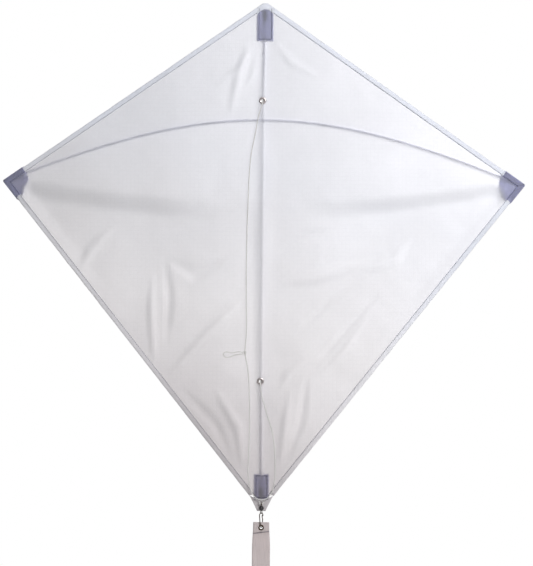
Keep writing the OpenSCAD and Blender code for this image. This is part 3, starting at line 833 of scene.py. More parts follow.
class KITE_OT_stage(bpy.types.Operator):
    """Set up the camera, the lights and the pale floor"""

    bl_idname = "kite.stage"
    bl_label = "Stage"

    def execute(self, context):
        stage = context.scene.kite_stage
        view_side = 36.0
        data = bpy.data.cameras.new("camera")
        data.sensor_width = view_side
        data.lens = view_side * stage.distance / stage.view_height
        data.clip_end = 50
        camera = bpy.data.objects.new("camera", data)
        context.scene.collection.objects.link(camera)
        right = Vector((math.cos(stage.roll), 0, math.sin(stage.roll)))
        up = Vector((-math.sin(stage.roll), 0, math.cos(stage.roll)))
        target = 0.0013 * right - 0.3601 * up
        back = Vector((0, -1, 0))
        turn = Matrix((right, up, back)).transposed()
        camera.matrix_world = Matrix.Translation(target + back * stage.distance) @ turn.to_4x4()
        context.scene.camera = camera
        context.scene.view_settings.view_transform = "Standard"

        self.lamp(
            "back_light", (0.58, 0.66, 0.04), (0.26, 0, -0.52), 1.0, stage.back, (0.99, 0.985, 1.0))
        self.lamp(
            "front_light", (0.60, -1.15, 0.35), (0.10, 0, -0.20), 0.6, stage.front,
            (0.97, 0.98, 1.0))
        self.sky(context, stage.sky)

        bm = bmesh.new()
        floor_z = CAD_LOW.z - 0.035
        bmesh.ops.create_circle(
            bm, cap_ends=True, segments=96, radius=1.2, matrix=Matrix.Translation((0, 0, floor_z)))
        mesh = bpy.data.meshes.new("floor")
        bm.to_mesh(mesh)
        bm.free()
        floor = bpy.data.objects.new("floor", mesh)
        context.scene.collection.objects.link(floor)
        f = Finish("pale_floor")
        tone = f.vary(f.noise(f.place(), 6.0), 0.98, 1.02)
        mesh.materials.append(f.surface({
            "Base Color": f.tint((0.80, 0.80, 0.79), tone), "Roughness": 0.9}))
        return {"FINISHED"}

    def lamp(self, name, place, target, size, power, colour):
        """A round soft lamp that points from its place at a target."""
        light = bpy.data.lights.new(name, "AREA")
        light.shape = "DISK"
        light.size = size
        light.energy = power
        light.color = colour
        lamp = bpy.data.objects.new(name, light)
        bpy.context.scene.collection.objects.link(lamp)
        away = Vector(place) - Vector(target)
        lamp.matrix_world = Matrix.LocRotScale(
            Vector(place), away.to_track_quat("Z", "Y"), None)

    def sky(self, context, strength):
        """White behind the object, and an even, slightly cool light all round it."""
        world = bpy.data.worlds.new("studio")
        context.scene.world = world
        world.use_nodes = True
        tree = world.node_tree
        tree.nodes.clear()
        seen, light, place, parts, fall, path, mix, out = (
            tree.nodes.new("ShaderNode" + kind) for kind in (
                "Background", "Background", "TexCoord", "SeparateXYZ", "MapRange", "LightPath",
                "MixShader", "OutputWorld"))
        seen.inputs["Color"].default_value = (1, 1, 1, 1)
        light.inputs["Color"].default_value = (0.985, 0.99, 1.0, 1)
        for name, value in (("From Min", -1.0), ("From Max", 1.0),
                            ("To Min", 0.22 * strength), ("To Max", 1.3 * strength)):
            fall.inputs[name].default_value = value
        for source, goal in (
                (place.outputs["Generated"], parts.inputs[0]),
                (parts.outputs["Z"], fall.inputs["Value"]),
                (fall.outputs[0], light.inputs["Strength"]),
                (path.outputs["Is Camera Ray"], mix.inputs[0]),
                (light.outputs[0], mix.inputs[1]), (seen.outputs[0], mix.inputs[2]),
                (mix.outputs[0], out.inputs["Surface"])):
            tree.links.new(source, goal)


class KITE_OT_bridle(bpy.types.Operator):
    """Lay the bridle line, its hitches round the spine, the tow knot and the tow loop"""

    bl_idname = "kite.bridle"
    bl_label = "Bridle"

    def execute(self, context):
        look = finishes(context.scene)
        path = spline(BRIDLE, 6)
        line = round_piece(
            "bridle_line_cord", path, LINE_R, 8, look["line"], "kite", ["bridle_line"])
        knot = round_piece(
            "tow_knot_wraps", self.knot_path(), LINE_R * 0.95, 8, look["line"], "kite",
            ["tow_knot"])
        loop = round_piece(
            "tow_loop_cord", spline(TOW_LOOP, 5, closed=True), LINE_R, 8, look["line"],
            "tow_loop", ["tow_loop"], closed=True)
        for name, (_, y, z) in (("upper", BRIDLE[0]), ("lower", BRIDLE[-1])):
            round_piece(
                name + "_hitch_turns", self.hitch_path(z, y), LINE_R, 8, look["line"], "kite",
                [name + "_bridle_hitch"])
        return {"FINISHED"}

    def knot_path(self):
        """Three close wraps round the line, the last one tucked under."""
        points = []
        turns, steps = 3.0, 42
        for k in range(steps + 1):
            t = k / steps
            a = 2 * math.pi * turns * t
            r = 1.25 * MM * (0.72 + 0.28 * math.sin(math.pi * t))
            points.append(TOW_KNOT + Vector((
                r * math.cos(a), r * math.sin(a), (0.5 - t) * 3.7 * MM)))
        points.insert(0, TOW_KNOT + Vector((-3.2 * MM, 0.0, -0.1 * MM)))
        points.insert(1, TOW_KNOT + Vector((-2.2 * MM, 0.4 * MM, 1.2 * MM)))
        return spline(points, 2)

    def hitch_path(self, z, front_y):
        """Through the eyelet, twice round the spine, and a short tail tucked under."""
        y = spine_y(z)
        r = ROD_R + 0.72 * MM
        points = [
            Vector((-0.0024, front_y, z)), Vector((-0.0023, front_y + 1.4 * MM, z)),
            Vector((-r, y - 1.6 * MM, z - 0.1 * MM))]
        steps, turns, rise = 40, 2.0, 1.3 * MM
        for k in range(steps + 1):
            a = math.pi + 2 * math.pi * turns * k / steps
            points.append(Vector((
                r * math.cos(a), y - r * math.sin(a), z + rise * turns * (k / steps - 0.5))))
        last = points[-1]
        points.append(last + Vector((-0.5 * MM, -0.6 * MM, 1.6 * MM)))
        points.append(last + Vector((-0.4 * MM, -0.5 * MM, 4.6 * MM)))
        return spline(points, 2)


class KITE_OT_sail(bpy.types.Operator):
    """Cut and fold the ripstop sail"""

    bl_idname = "kite.sail"
    bl_label = "Sail"

    def execute(self, context):
        sail = context.scene.kite_sail
        look = finishes(context.scene)
        width, height = 2 * HALF_SPAN, SAIL_HIGH.z - SAIL_LOW.z
        bm = bmesh.new()
        middle = Vector((0, 0, (SAIL_HIGH.z + SAIL_LOW.z) / 2))
        upright = Matrix.Rotation(math.pi / 2, 4, "X")
        columns, rows = 2 * round(HALF_SPAN / sail.grid), round(height / sail.grid)
        bmesh.ops.create_grid(
            bm, x_segments=columns, y_segments=rows, size=0.5,
            matrix=Matrix.Translation(middle) @ upright @ Matrix.Diagonal((width, height, 1, 1)))
        for side in (1, -1):
            for a, b in ((NOSE, TIP), (TIP, CORNER)):
                self.trim(bm, list(bm.faces), a, b, side)
        bmesh.ops.bisect_plane(
            bm, geom=[*bm.verts, *bm.edges, *bm.faces], plane_co=(0, 0, CORNER.y),
            plane_no=(0, 0, 1))
        for side in (1, -1):
            for a, b in ((CORNER, NECK), (NECK, END)):
                low = [f for f in bm.faces if f.calc_center_median().z < CORNER.y]
                self.trim(bm, low, a, b, side)
        for name in ("upper_eyelet", "lower_eyelet"):
            self.clear(bm, name)
        for v in bm.verts:
            v.co.y = sail_y(v.co.x, v.co.z, sail.fold_scale)
        turn_faces(bm.faces, -1)
        piece = finish_piece("sail_cloth", bm, look["cloth"], "kite", ["sail"])
        area = 2 * self.half_area([NOSE, TIP, CORNER, NECK, END])
        return {"FINISHED"}

    def half_area(self, outline):
        """Area between the kite's middle line and one side's outline."""
        points = [Vector((0, outline[0].y)), *outline, Vector((0, outline[-1].y))]
        pairs = zip(points, [*points[1:], points[0]])
        return abs(sum(a.x * b.y - b.x * a.y for a, b in pairs)) / 2

    def trim(self, bm, faces, a, b, side):
        """Cuts away what lies outside one edge of the outline."""
        d = b - a
        out = Vector((-d.y, 0, d.x)).normalized()
        out = out if out.x > 0 else -out
        out.x *= side
        bmesh.ops.bisect_plane(
            bm, geom=with_rim(faces), plane_co=(side * a.x, 0, a.y), plane_no=out,
            clear_outer=True)

    def clear(self, bm, eyelet):
        """Cuts the round hole that an eyelet sits in."""
        low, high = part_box(eyelet)
        centre = (low + high) / 2
        radius, reach = 2.25 * MM, 12 * MM
        punch(
            bm, centre, radius, 12,
            lambda at: max(abs(at.x - centre.x), abs(at.z - centre.z)) < reach,
            lambda at: math.hypot(at.x - centre.x, at.z - centre.z) < radius * 0.98)


class KITE_OT_hems(bpy.types.Operator):
    """Fold the hems along the four edges and over the nose and bottom corners"""

    bl_idname = "kite.hems"
    bl_label = "Hems"

    def execute(self, context):
        sail = context.scene.kite_sail
        look = finishes(context.scene)
        for side, name in ((-1, "left"), (1, "right")):
            for low, a, b in ((False, NOSE, TIP), (True, TIP, CORNER)):
                bm = self.strip(a, b, side, sail.hem_width, sail.fold_scale, low)
                label = "hem_lower_" if low else "hem_upper_"
                piece = finish_piece(
                    label + name + "_fold", bm, look["hem"], "kite", [label + name])
                thicken(piece, 0.22 * MM, -1)
        for bm, node in ((self.nose_cap(), "nose_hem_cap"), (self.tail_cap(), "tail_hem_cap")):
            piece = finish_piece(node + "_fold", bm, look["hem"], "kite", [node])
            thicken(piece, 0.25 * MM, -1)
        return {"FINISHED"}

    def strip(self, a, b, side, width, scale, low):
        """One hem: a band inside the edge, rolled over at the edge and a little wavy."""
        d = b - a
        inwards = Vector((d.y, -d.x)).normalized()
        start = (NOSE_CAP_HALF - a.x) / d.x if not low else 0.004
        stop = 0.995 if not low else (TAIL_CAP_TOP - a.y) / d.y
        columns = round(d.length / (4 * MM))
        bm = net(columns, 5)
        for v in bm.verts:
            t, w = v.co.x, v.co.y
            along = start + (stop - start) * t
            wobble = 0.35 * MM * noise.noise(Vector((along * d.length * 55, side * 7, low * 3)))
            at = a + d * along + inwards * (w * width + wobble * (1 - w))
            lift = 0.36 * MM * math.sin(math.pi * min(1, 0.12 + 0.80 * w))
            lift += 0.22 * MM * (1 - w) * noise.noise(Vector((along * d.length * 90, 3, side)))
            x = side * at.x
            v.co = (x, sail_y(x, at.y, scale) - 0.06 * MM - lift, at.y)
        turn_faces(bm.faces, -1)
        return bm

    def cap(self, outline):
        """A flat corner fold cut to an outline, creased down the middle."""
        bm = bmesh.new()
        bm.faces.new([bm.verts.new((x, 0, z)) for x, z in outline])
        low, high = min(z for _, z in outline), max(z for _, z in outline)
        cuts = [((k * 2.5 * MM, 0, 0), (1, 0, 0)) for k in range(-4, 5)]
        cuts += [((0, 0, z), (0, 0, 1)) for z in between(low, high, 7)[1:-1]]
        for place, across in cuts:
            bmesh.ops.bisect_plane(
                bm, geom=[*bm.verts, *bm.edges, *bm.faces], plane_co=place, plane_no=across)
        for v in bm.verts:
            puff = 0.10 * MM * noise.noise(v.co * 260)
            v.co.y = abs(v.co.x) * LEAN - 0.40 * MM + puff
        turn_faces(bm.faces, -1)
        return bm

    def nose_cap(self):
        """The fold over the nose, its arch below."""
        centre, radius = NOSE_ARCH
        slope = (TIP - NOSE).y / (TIP - NOSE).x
        side_z = NOSE.y + (NOSE_CAP_HALF - NOSE.x) * slope
        outline = [(-NOSE.x, NOSE.y), (NOSE.x, NOSE.y), (NOSE_CAP_HALF, side_z)]
        for k in range(15):
            x = NOSE_CAP_HALF * (1 - 2 * k / 14)
            outline.append((x, centre.y + math.sqrt(radius ** 2 - x * x)))
        outline.append((-NOSE_CAP_HALF, side_z))
        return self.cap(outline)

    def tail_cap(self):
        """The fold over the bottom corner, its arch above."""
        centre, radius = TAIL_ARCH
        share = (TAIL_CAP_TOP - TIP.y) / (CORNER.y - TIP.y)
        top_x = TIP.x + (CORNER.x - TIP.x) * share
        right = [(top_x, TAIL_CAP_TOP), tuple(CORNER), tuple(NECK), tuple(END)]
        outline = right + [(-x, z) for x, z in reversed(right)]
        for k in range(1, 14):
            x = -top_x * (1 - 2 * k / 14)
            outline.append((x, centre.y - math.sqrt(radius ** 2 - x * x)))
        return self.cap(outline)


class KITE_OT_pockets(bpy.types.Operator):
    """Sew the webbing pockets at the nose, the bottom and the two wing tips"""

    bl_idname = "kite.pockets"
    bl_label = "Pockets"

    def execute(self, context):
        look = finishes(context.scene)
        for node, shut_high in (("nose_pocket", True), ("tail_pocket", False)):
            bm = self.straight(node, shut_high)
            piece = finish_piece(node + "_webbing", bm, look["webbing"], "kite", [node])
            thicken(piece, 0.6 * MM, -1)
        for side, name in ((-1, "left"), (1, "right")):
            node = name + "_wing_pocket"
            piece = finish_piece(
                node + "_patch", self.wing_patch(side), look["webbing"], "kite", [node])
            thicken(piece, 0.7 * MM, -1)
            finish_piece(
                node + "_band", self.wing_band(side), look["webbing"], "kite")
        return {"FINISHED"}

    def straight(self, node, shut_high):
        """Flat webbing with a soft tunnel over the spine's capped end."""
        low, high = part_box(node)
        bm = net(34, 22)
        for v in bm.verts:
            x = low.x + (high.x - low.x) * v.co.x
            z = low.z + (high.z - low.z) * v.co.y
            flat = abs(x) * LEAN + CLOTH + 0.75 * MM
            shut = smooth(0.4 * MM, 4.0 * MM, high.z - z) if shut_high else smooth(
                0.2 * MM, 2.6 * MM, z - low.z)
            rise = 0.0
            if abs(x) < 1.6 * TUNNEL:
                crest = END_Y + TUNNEL - flat
                rise = crest * (1 - smooth(0.32 * TUNNEL, 1.45 * TUNNEL, abs(x)))
            v.co = (x, flat + rise * shut, z)
        turn_faces(bm.faces, 1)
        return bm

    def tip_fan(self, side, reach_share, angle_share):
        """A place on a wing patch, from its corner outwards and from edge to edge."""
        start, stop = (
            math.atan2(edge.y, edge.x) % (2 * math.pi) for edge in (LOW_EDGE, UP_EDGE))
        a = start + (stop - start) * angle_share
        ray = Vector((math.cos(a), math.sin(a)))
        arm = TIP_APEX - (TIP + Vector((-PATCH_IN, 0)))
        half = arm.dot(ray)
        far = -half + math.sqrt(half * half - arm.length_squared + PATCH_R * PATCH_R)
        at = TIP_APEX + ray * far * reach_share
        return side * at.x, at.y

    def wing_patch(self, side):
        """The patch behind a wing tip, raised into a tunnel over the cross spar's end."""
        end = spar_point(SPAR_END_X)
        back = (spar_point(SPAR_END_X - 0.008) - end).normalized()
        bm = net(22, 30)
        for v in bm.verts:
            x, z = self.tip_fan(side, max(v.co.x, 0.004), v.co.y)
            flat = abs(x) * LEAN + CLOTH + 0.85 * MM
            arm = Vector((abs(x), 0, z)) - Vector((end.x, 0, end.z))
            line = Vector((back.x, 0, back.z)).normalized()
            along = arm.dot(line)
            away = (arm - line * along).length
            axis_y = end.y + back.y * along
            crest = max(0.0, axis_y + TUNNEL - flat)
            rise = crest * (1 - smooth(0.30 * TUNNEL, 1.5 * TUNNEL, away))
            v.co = (x, flat + rise * smooth(-4.6 * MM, 0.6 * MM, along), z)
        turn_faces(bm.faces, 1)
        return bm

    def wing_band(self, side):
        """The webbing's front: two bands that meet at the tip, rolled round the edges."""
        bm = bmesh.new()
        width, reach = 7.5 * MM, 30.5 * MM
        mitre = width / math.tan(TIP_HALF_ANGLE)
        for edge, top in ((LOW_EDGE, 0.0), (UP_EDGE, 0.12 * MM)):
            inwards = Vector((edge.y, -edge.x))
            if inwards.dot(TIP_OUT) > 0:
                inwards = -inwards
            made = bmesh.ops.create_grid(
                bm, x_segments=16, y_segments=6, size=0.5,
                matrix=Matrix.Translation((0.5, 0.5, 0)))["verts"]
            for v in made:
                t, w = v.co.x, v.co.y
                near = mitre * w
                at = TIP_APEX + edge * (near + (reach - near) * t) + inwards * width * w
                x = side * at.x
                roll = 0.5 * MM * (1 - smooth(0.0, 0.16, w))
                v.co = (x, abs(x) * LEAN - HEM - 0.46 * MM - top + roll, at.y)
            walls = {f for v in made for f in v.link_faces}
            turn_faces(walls, -1)
            bmesh.ops.solidify(bm, geom=list(walls), thickness=0.40 * MM)
            turn = []
            for k in range(13):
                at = TIP_APEX - TIP_OUT * 0.5 * MM + edge * (
                    0.6 * MM + (reach - 0.8 * MM) * k / 12)
                turn.append(Vector((side * at.x, abs(at.x) * LEAN + 0.12 * MM, at.y)))
            sweep(bm, turn, 0.92 * MM, 10)
        bmesh.ops.recalc_face_normals(bm, faces=list(bm.faces))
        return bm


class KITE_OT_stitching(bpy.types.Operator):
    """Sew the hems and the pockets"""

    bl_idname = "kite.stitching"
    bl_label = "Stitching"

    def execute(self, context):
        sail, trim = context.scene.kite_sail, context.scene.kite_trim
        look = finishes(context.scene)
        rows = {
            "hem_stitching": self.hem_rows(sail.hem_width),
            "nose_pocket_stitching": self.box_rows("nose_pocket", False),
            "tail_pocket_stitching": self.box_rows("tail_pocket", True),
            "tail_cap_stitching": [self.arch_row()],
        }
        for name, lines in rows.items():
            bm = bmesh.new()
            for line in lines:
                for back in (False, True):
                    points = [self.lay(x, z, back, sail) for x, z in line]
                    heavy = POCKET_SEAM if "pocket" in name else 1.0
                    stitch_row(bm, points, trim.stitch / heavy, trim.thread_d * heavy)
            finish_piece(name, bm, look["thread"], "kite")
        return {"FINISHED"}

    def lay(self, x, z, back, sail):
        """The place of a thread on the outermost layer, in front or behind."""
        y = sail_y(x, z, sail.fold_scale)
        at = Vector((abs(x), z))
        in_wing = (at - (TIP - Vector((PATCH_IN, 0)))).length < PATCH_R
        in_hem = edge_distance(x, z) < sail.hem_width + 0.1 * MM
        in_patch = (
            (abs(x) < 10.6 * MM and z > NOSE_MOUTH) or (abs(x) < 9.6 * MM and z < TAIL_MOUTH))
        if back:
            return Vector((x, y + (1.55 * MM if in_wing or in_patch else 0.30 * MM), z))
        above = HEM + 1.05 * MM if in_wing else 0.50 * MM if in_hem else 0.12 * MM
        return Vector((x, y - above, z))

    def hem_rows(self, width):
        """One seam down each side, turning at the wing tip."""
        inset = width - 0.75 * MM
        corner = TIP - TIP_OUT * inset / math.sin(TIP_HALF_ANGLE)
        top = corner + UP_EDGE * ((NOSE_CAP_HALF - corner.x) / UP_EDGE.x)
        low = corner + LOW_EDGE * ((TAIL_CAP_TOP - corner.y) / LOW_EDGE.y)
        rows = []
        for side in (-1, 1):
            for a, b in ((top, corner), (corner, low)):
                steps = round((b - a).length / (5 * MM))
                rows.append([
                    (side * x, z) for x, z in zip(
                        between(a.x, b.x, steps), between(a.y, b.y, steps))])
        return rows

    def box_rows(self, node, closed):
        """Seams down both sides of a pocket and across its ends, one of them left open."""
        low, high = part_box(node)
        inset = 2.4 * MM
        x, z0 = high.x - inset, low.z + inset
        z1 = high.z - (inset if closed else 0.6 * MM)
        rows = [[(-x, z1), (-x, z0)], [(x, z0), (x, z1)]]
        if closed:
            rows.append([(-x, z1), (x, z1)])
        rows.append([(-x, z0), (x, z0)])
        return [
            list(zip(between(a[0], b[0], 12), between(a[1], b[1], 12))) for a, b in rows]

    def arch_row(self):
        """The seam along the bottom fold's arch."""
        centre, radius = TAIL_ARCH
        radius += 1.3 * MM
        xs = [9.5 * MM * (2 * k / 12 - 1) for k in range(13)]
        return [(x, centre.y - math.sqrt(radius ** 2 - x ** 2)) for x in xs]


class KITE_OT_rods(bpy.types.Operator):
    """Make the spine, the bent cross spar and the caps on their ends"""

    bl_idname = "kite.rods"
    bl_label = "Rods"

    def execute(self, context):
        look = finishes(context.scene)
        low, high = SPINE_BOX
        points = [Vector((0, spine_y(z), z)) for z in between(low.z, high.z, 60)]
        round_piece("spine_rod", points, ROD_R, 16, look["spine"], "kite", ["spine"])
        points = [spar_point(SPAR_END_X * (2 * k / 96 - 1)) for k in range(97)]
        round_piece(
            "cross_spar_rod", points, ROD_R, 16, look["spar"], "kite", ["cross_spar"])
        end = spar_point(SPAR_END_X)
        out = (end - spar_point(SPAR_END_X - 0.008)).normalized()
        flip = Vector((-1, 1, 1))
        caps = (
            ("spine_nose_cap", Vector((0, END_Y, high.z + MM)), Vector((0, 0, -1))),
            ("spine_tail_cap", Vector((0, END_Y, low.z - MM)), Vector((0, 0, 1))),
            ("cross_spar_right_cap", end + out * MM, -out),
            ("cross_spar_left_cap", (end + out * MM) * flip, -out * flip),
        )
        r, bore, length, round_end = 2.1 * MM, 1.75 * MM, 12 * MM, 0.9 * MM
        profile = [(0.05 * MM, 0), (r - round_end, 0)]
        profile += [
            (r - round_end + round_end * math.sin(a), round_end - round_end * math.cos(a))
            for a in (math.pi / 8, math.pi / 4, 3 * math.pi / 8, math.pi / 2)]
        profile += [(r, length - 0.5 * MM), (r - 0.12 * MM, length), (bore, length),
                    (bore, 0.9 * MM), (0.05 * MM, 0.9 * MM)]
        for node, place, along in caps:
            bm = bmesh.new()
            turned(bm, profile, Matrix.LocRotScale(place, along.to_track_quat("Z", "Y"), None), 24)
            finish_piece(node + "_vinyl", bm, look["vinyl"], "kite", [node])
        return {"FINISHED"}


class KITE_OT_eyelets(bpy.types.Operator):
    """Press the eyelets into the sail and the tail"""

    bl_idname = "kite.eyelets"
    bl_label = "Eyelets"

    def execute(self, context):
        look = finishes(context.scene)
        tail_y = sum(v.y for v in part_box("tail_ribbon")) / 2
        jobs = (
            ("upper_eyelet", 0.0, 0.9 * MM, "nickel", "kite"),
            ("lower_eyelet", 0.0, 0.9 * MM, "nickel", "kite"),
            ("tail_eyelet", tail_y - 0.35 * MM, tail_y + 0.35 * MM, "brass", "tail"),
        )
        for node, front, back, metal, body in jobs:
            low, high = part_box(node)
            outer, hole = (high.x - low.x) / 2, EYELET_HOLE
            centre = (low + high) / 2
            bm = bmesh.new()
            upright = Matrix.Translation((centre.x, 0, centre.z)) @ Matrix.Rotation(
                -math.pi / 2, 4, "X")
            middle, half = (hole + outer) / 2, (outer - hole) / 2
            dome = [
                (middle - half * math.cos(a), front - 0.12 * MM - 0.55 * MM * math.sin(a) ** 0.8)
                for a in (math.pi * k / 12 for k in range(1, 12))]
            profile = [
                (hole + 0.3 * MM, front), (outer, front), *reversed(dome), (hole, front),
                (hole, back + 0.45 * MM), (hole + 0.15 * MM, back + 0.68 * MM),
                (hole + 0.45 * MM, back + 0.72 * MM), (hole + 0.8 * MM, back + 0.55 * MM),
                (hole + 0.9 * MM, back + 0.42 * MM), (hole + 0.3 * MM, back + 0.40 * MM),
                (hole + 0.3 * MM, front)]
            turned(bm, profile, upright, 36)
            washer = [
                (hole + 0.32 * MM, back), (outer, back), (outer, back + 0.12 * MM),
                (outer - 0.25 * MM, back + 0.25 * MM), (hole + 0.32 * MM, back + 0.38 * MM),
                (hole + 0.32 * MM, back)]
            turned(bm, washer, upright, 36)
            finish_piece(node + "_metal", bm, look[metal], body, [node])
        return {"FINISHED"}


class KITE_OT_swivel(bpy.types.Operator):
    """Hang the swivel and the wire snap from the cord loop at the bottom"""

    bl_idname = "kite.swivel"
    bl_label = "Swivel and snap"

    def execute(self, context):
        look = finishes(context.scene)
        self.hang_loop(look["cord"])
        low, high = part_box("swivel_barrel")
        centre, r, h = (low + high) / 2, (high.x - low.x) / 2, high.z - low.z
        profile = [
            (0.62 * MM, 0), (1.5 * MM, 0), (2.1 * MM, 0.25 * MM), (0.83 * r, 0.9 * MM),
            (0.96 * r, 1.5 * MM), (r, 2.1 * MM), (r, h / 2 - 0.25 * MM),
            (0.95 * r, h / 2 - 0.1 * MM)]
        profile += [(a, h - b) for a, b in reversed(profile)] + [(0.62 * MM, 0)]
        bm = bmesh.new()
        turned(bm, profile, Matrix.Translation((0, centre.y, low.z)), 36)
        finish_piece(
            "swivel_barrel_shell", bm, look["barrel"], "swivel_barrel", ["swivel_barrel"])
        for node in ("swivel_eye", "swivel_lower_eye"):
            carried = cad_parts[node]
            carried.data.materials.clear()
            carried.data.materials.append(look["brass"])
        round_piece(
            "snap_wire_bent", self.wire_path(), SNAP_WIRE_R, 14, look["brass"], "snap",
            ["snap_wire"])
        round_piece(
            "snap_arm_bent", self.arm_path(), SNAP_WIRE_R, 14, look["brass"], "snap_arm",
            ["snap_arm"])
        return {"FINISHED"}

    def hang_loop(self, cord):
        """The cord loop, its two legs going into the cloth."""
        low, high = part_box("tail_loop")
        r = 0.7 * MM
        y, leg, back = low.y + r, high.x - r, -HEM
        top = low.z + r + leg
        leg_places = (
            (back, top + 0.2 * MM), (back - 1.6 * MM, top + 0.2 * MM), (y + 0.4 * MM, top))
        points = [Vector((-leg, *place)) for place in leg_places]
        points += [
            Vector((-leg * math.cos(a), y, top - leg * math.sin(a)))
            for a in (math.pi * k / 10 for k in range(1, 10))]
        points += [Vector((leg, *place)) for place in reversed(leg_places)]
        round_piece(
            "tail_loop_cord", spline(points, 3), r, 12, cord, "kite", ["tail_loop"])

    def snap_frame(self):
        """Sizes of the snap, taken from its CAD box."""
        low, high = SNAP_BOX
        wire_r, top_r, bottom_r = 0.45 * MM, 3.6 * MM, 1.95 * MM
        y = (low.y + high.y) / 2
        top_z, bottom_z = high.z - wire_r - top_r, low.z + wire_r + bottom_r
        lean = math.asin((top_r - bottom_r) / (top_z - bottom_z))
        return y, top_r, bottom_r, top_z, bottom_z, lean

    def snap_point(self, across, z, off=0.0):
        """A place in the snap's own turned plane, or off it."""
        y = self.snap_frame()[0]
        return Vector((
            across * math.cos(SNAP_TURN) - off * math.sin(SNAP_TURN),
            y + across * math.sin(SNAP_TURN) + off * math.cos(SNAP_TURN), z))

    def leg_point(self, side, up, off=0.0):
        """A place on one of the snap's straight legs."""
        _, _, bottom_r, _, bottom_z, lean = self.snap_frame()
        return self.snap_point(
            side * (bottom_r * math.cos(lean) + up * math.sin(lean)),
            bottom_z - bottom_r * math.sin(lean) + up * math.cos(lean), off)

    def arc(self, z, r, start, stop, steps):
        """A bend of the snap's wire about a height."""
        return [
            self.snap_point(r * math.cos(a), z + r * math.sin(a))
            for a in between(start, stop, steps)]

    def wire_path(self):
        """From the open leg up, over the top, down the other leg and round the bottom."""
        _, top_r, bottom_r, top_z, bottom_z, lean = self.snap_frame()
        points = [self.leg_point(1, 12.9 * MM)]
        points += self.arc(top_z, top_r, -lean, math.pi + lean, 24)
        points += [self.leg_point(-1, up) for up in (8 * MM, 4 * MM)]
        points += self.arc(
            bottom_z, bottom_r, math.pi + lean, 2 * math.pi - lean - math.radians(20), 14)
        return points

    def arm_path(self):
        """The spring arm, with the jog at its end that catches the wire."""
        arm, jog = 12.6 * MM, 1.1 * MM
        return spline([
            self.leg_point(1, 0), self.leg_point(1, 4 * MM), self.leg_point(1, arm - 4 * MM),
            self.leg_point(1, arm - 2.4 * MM, 0.5 * MM), self.leg_point(1, arm - 0.8 * MM, jog),
            self.leg_point(1, arm + 1.8 * MM, jog)], 6)


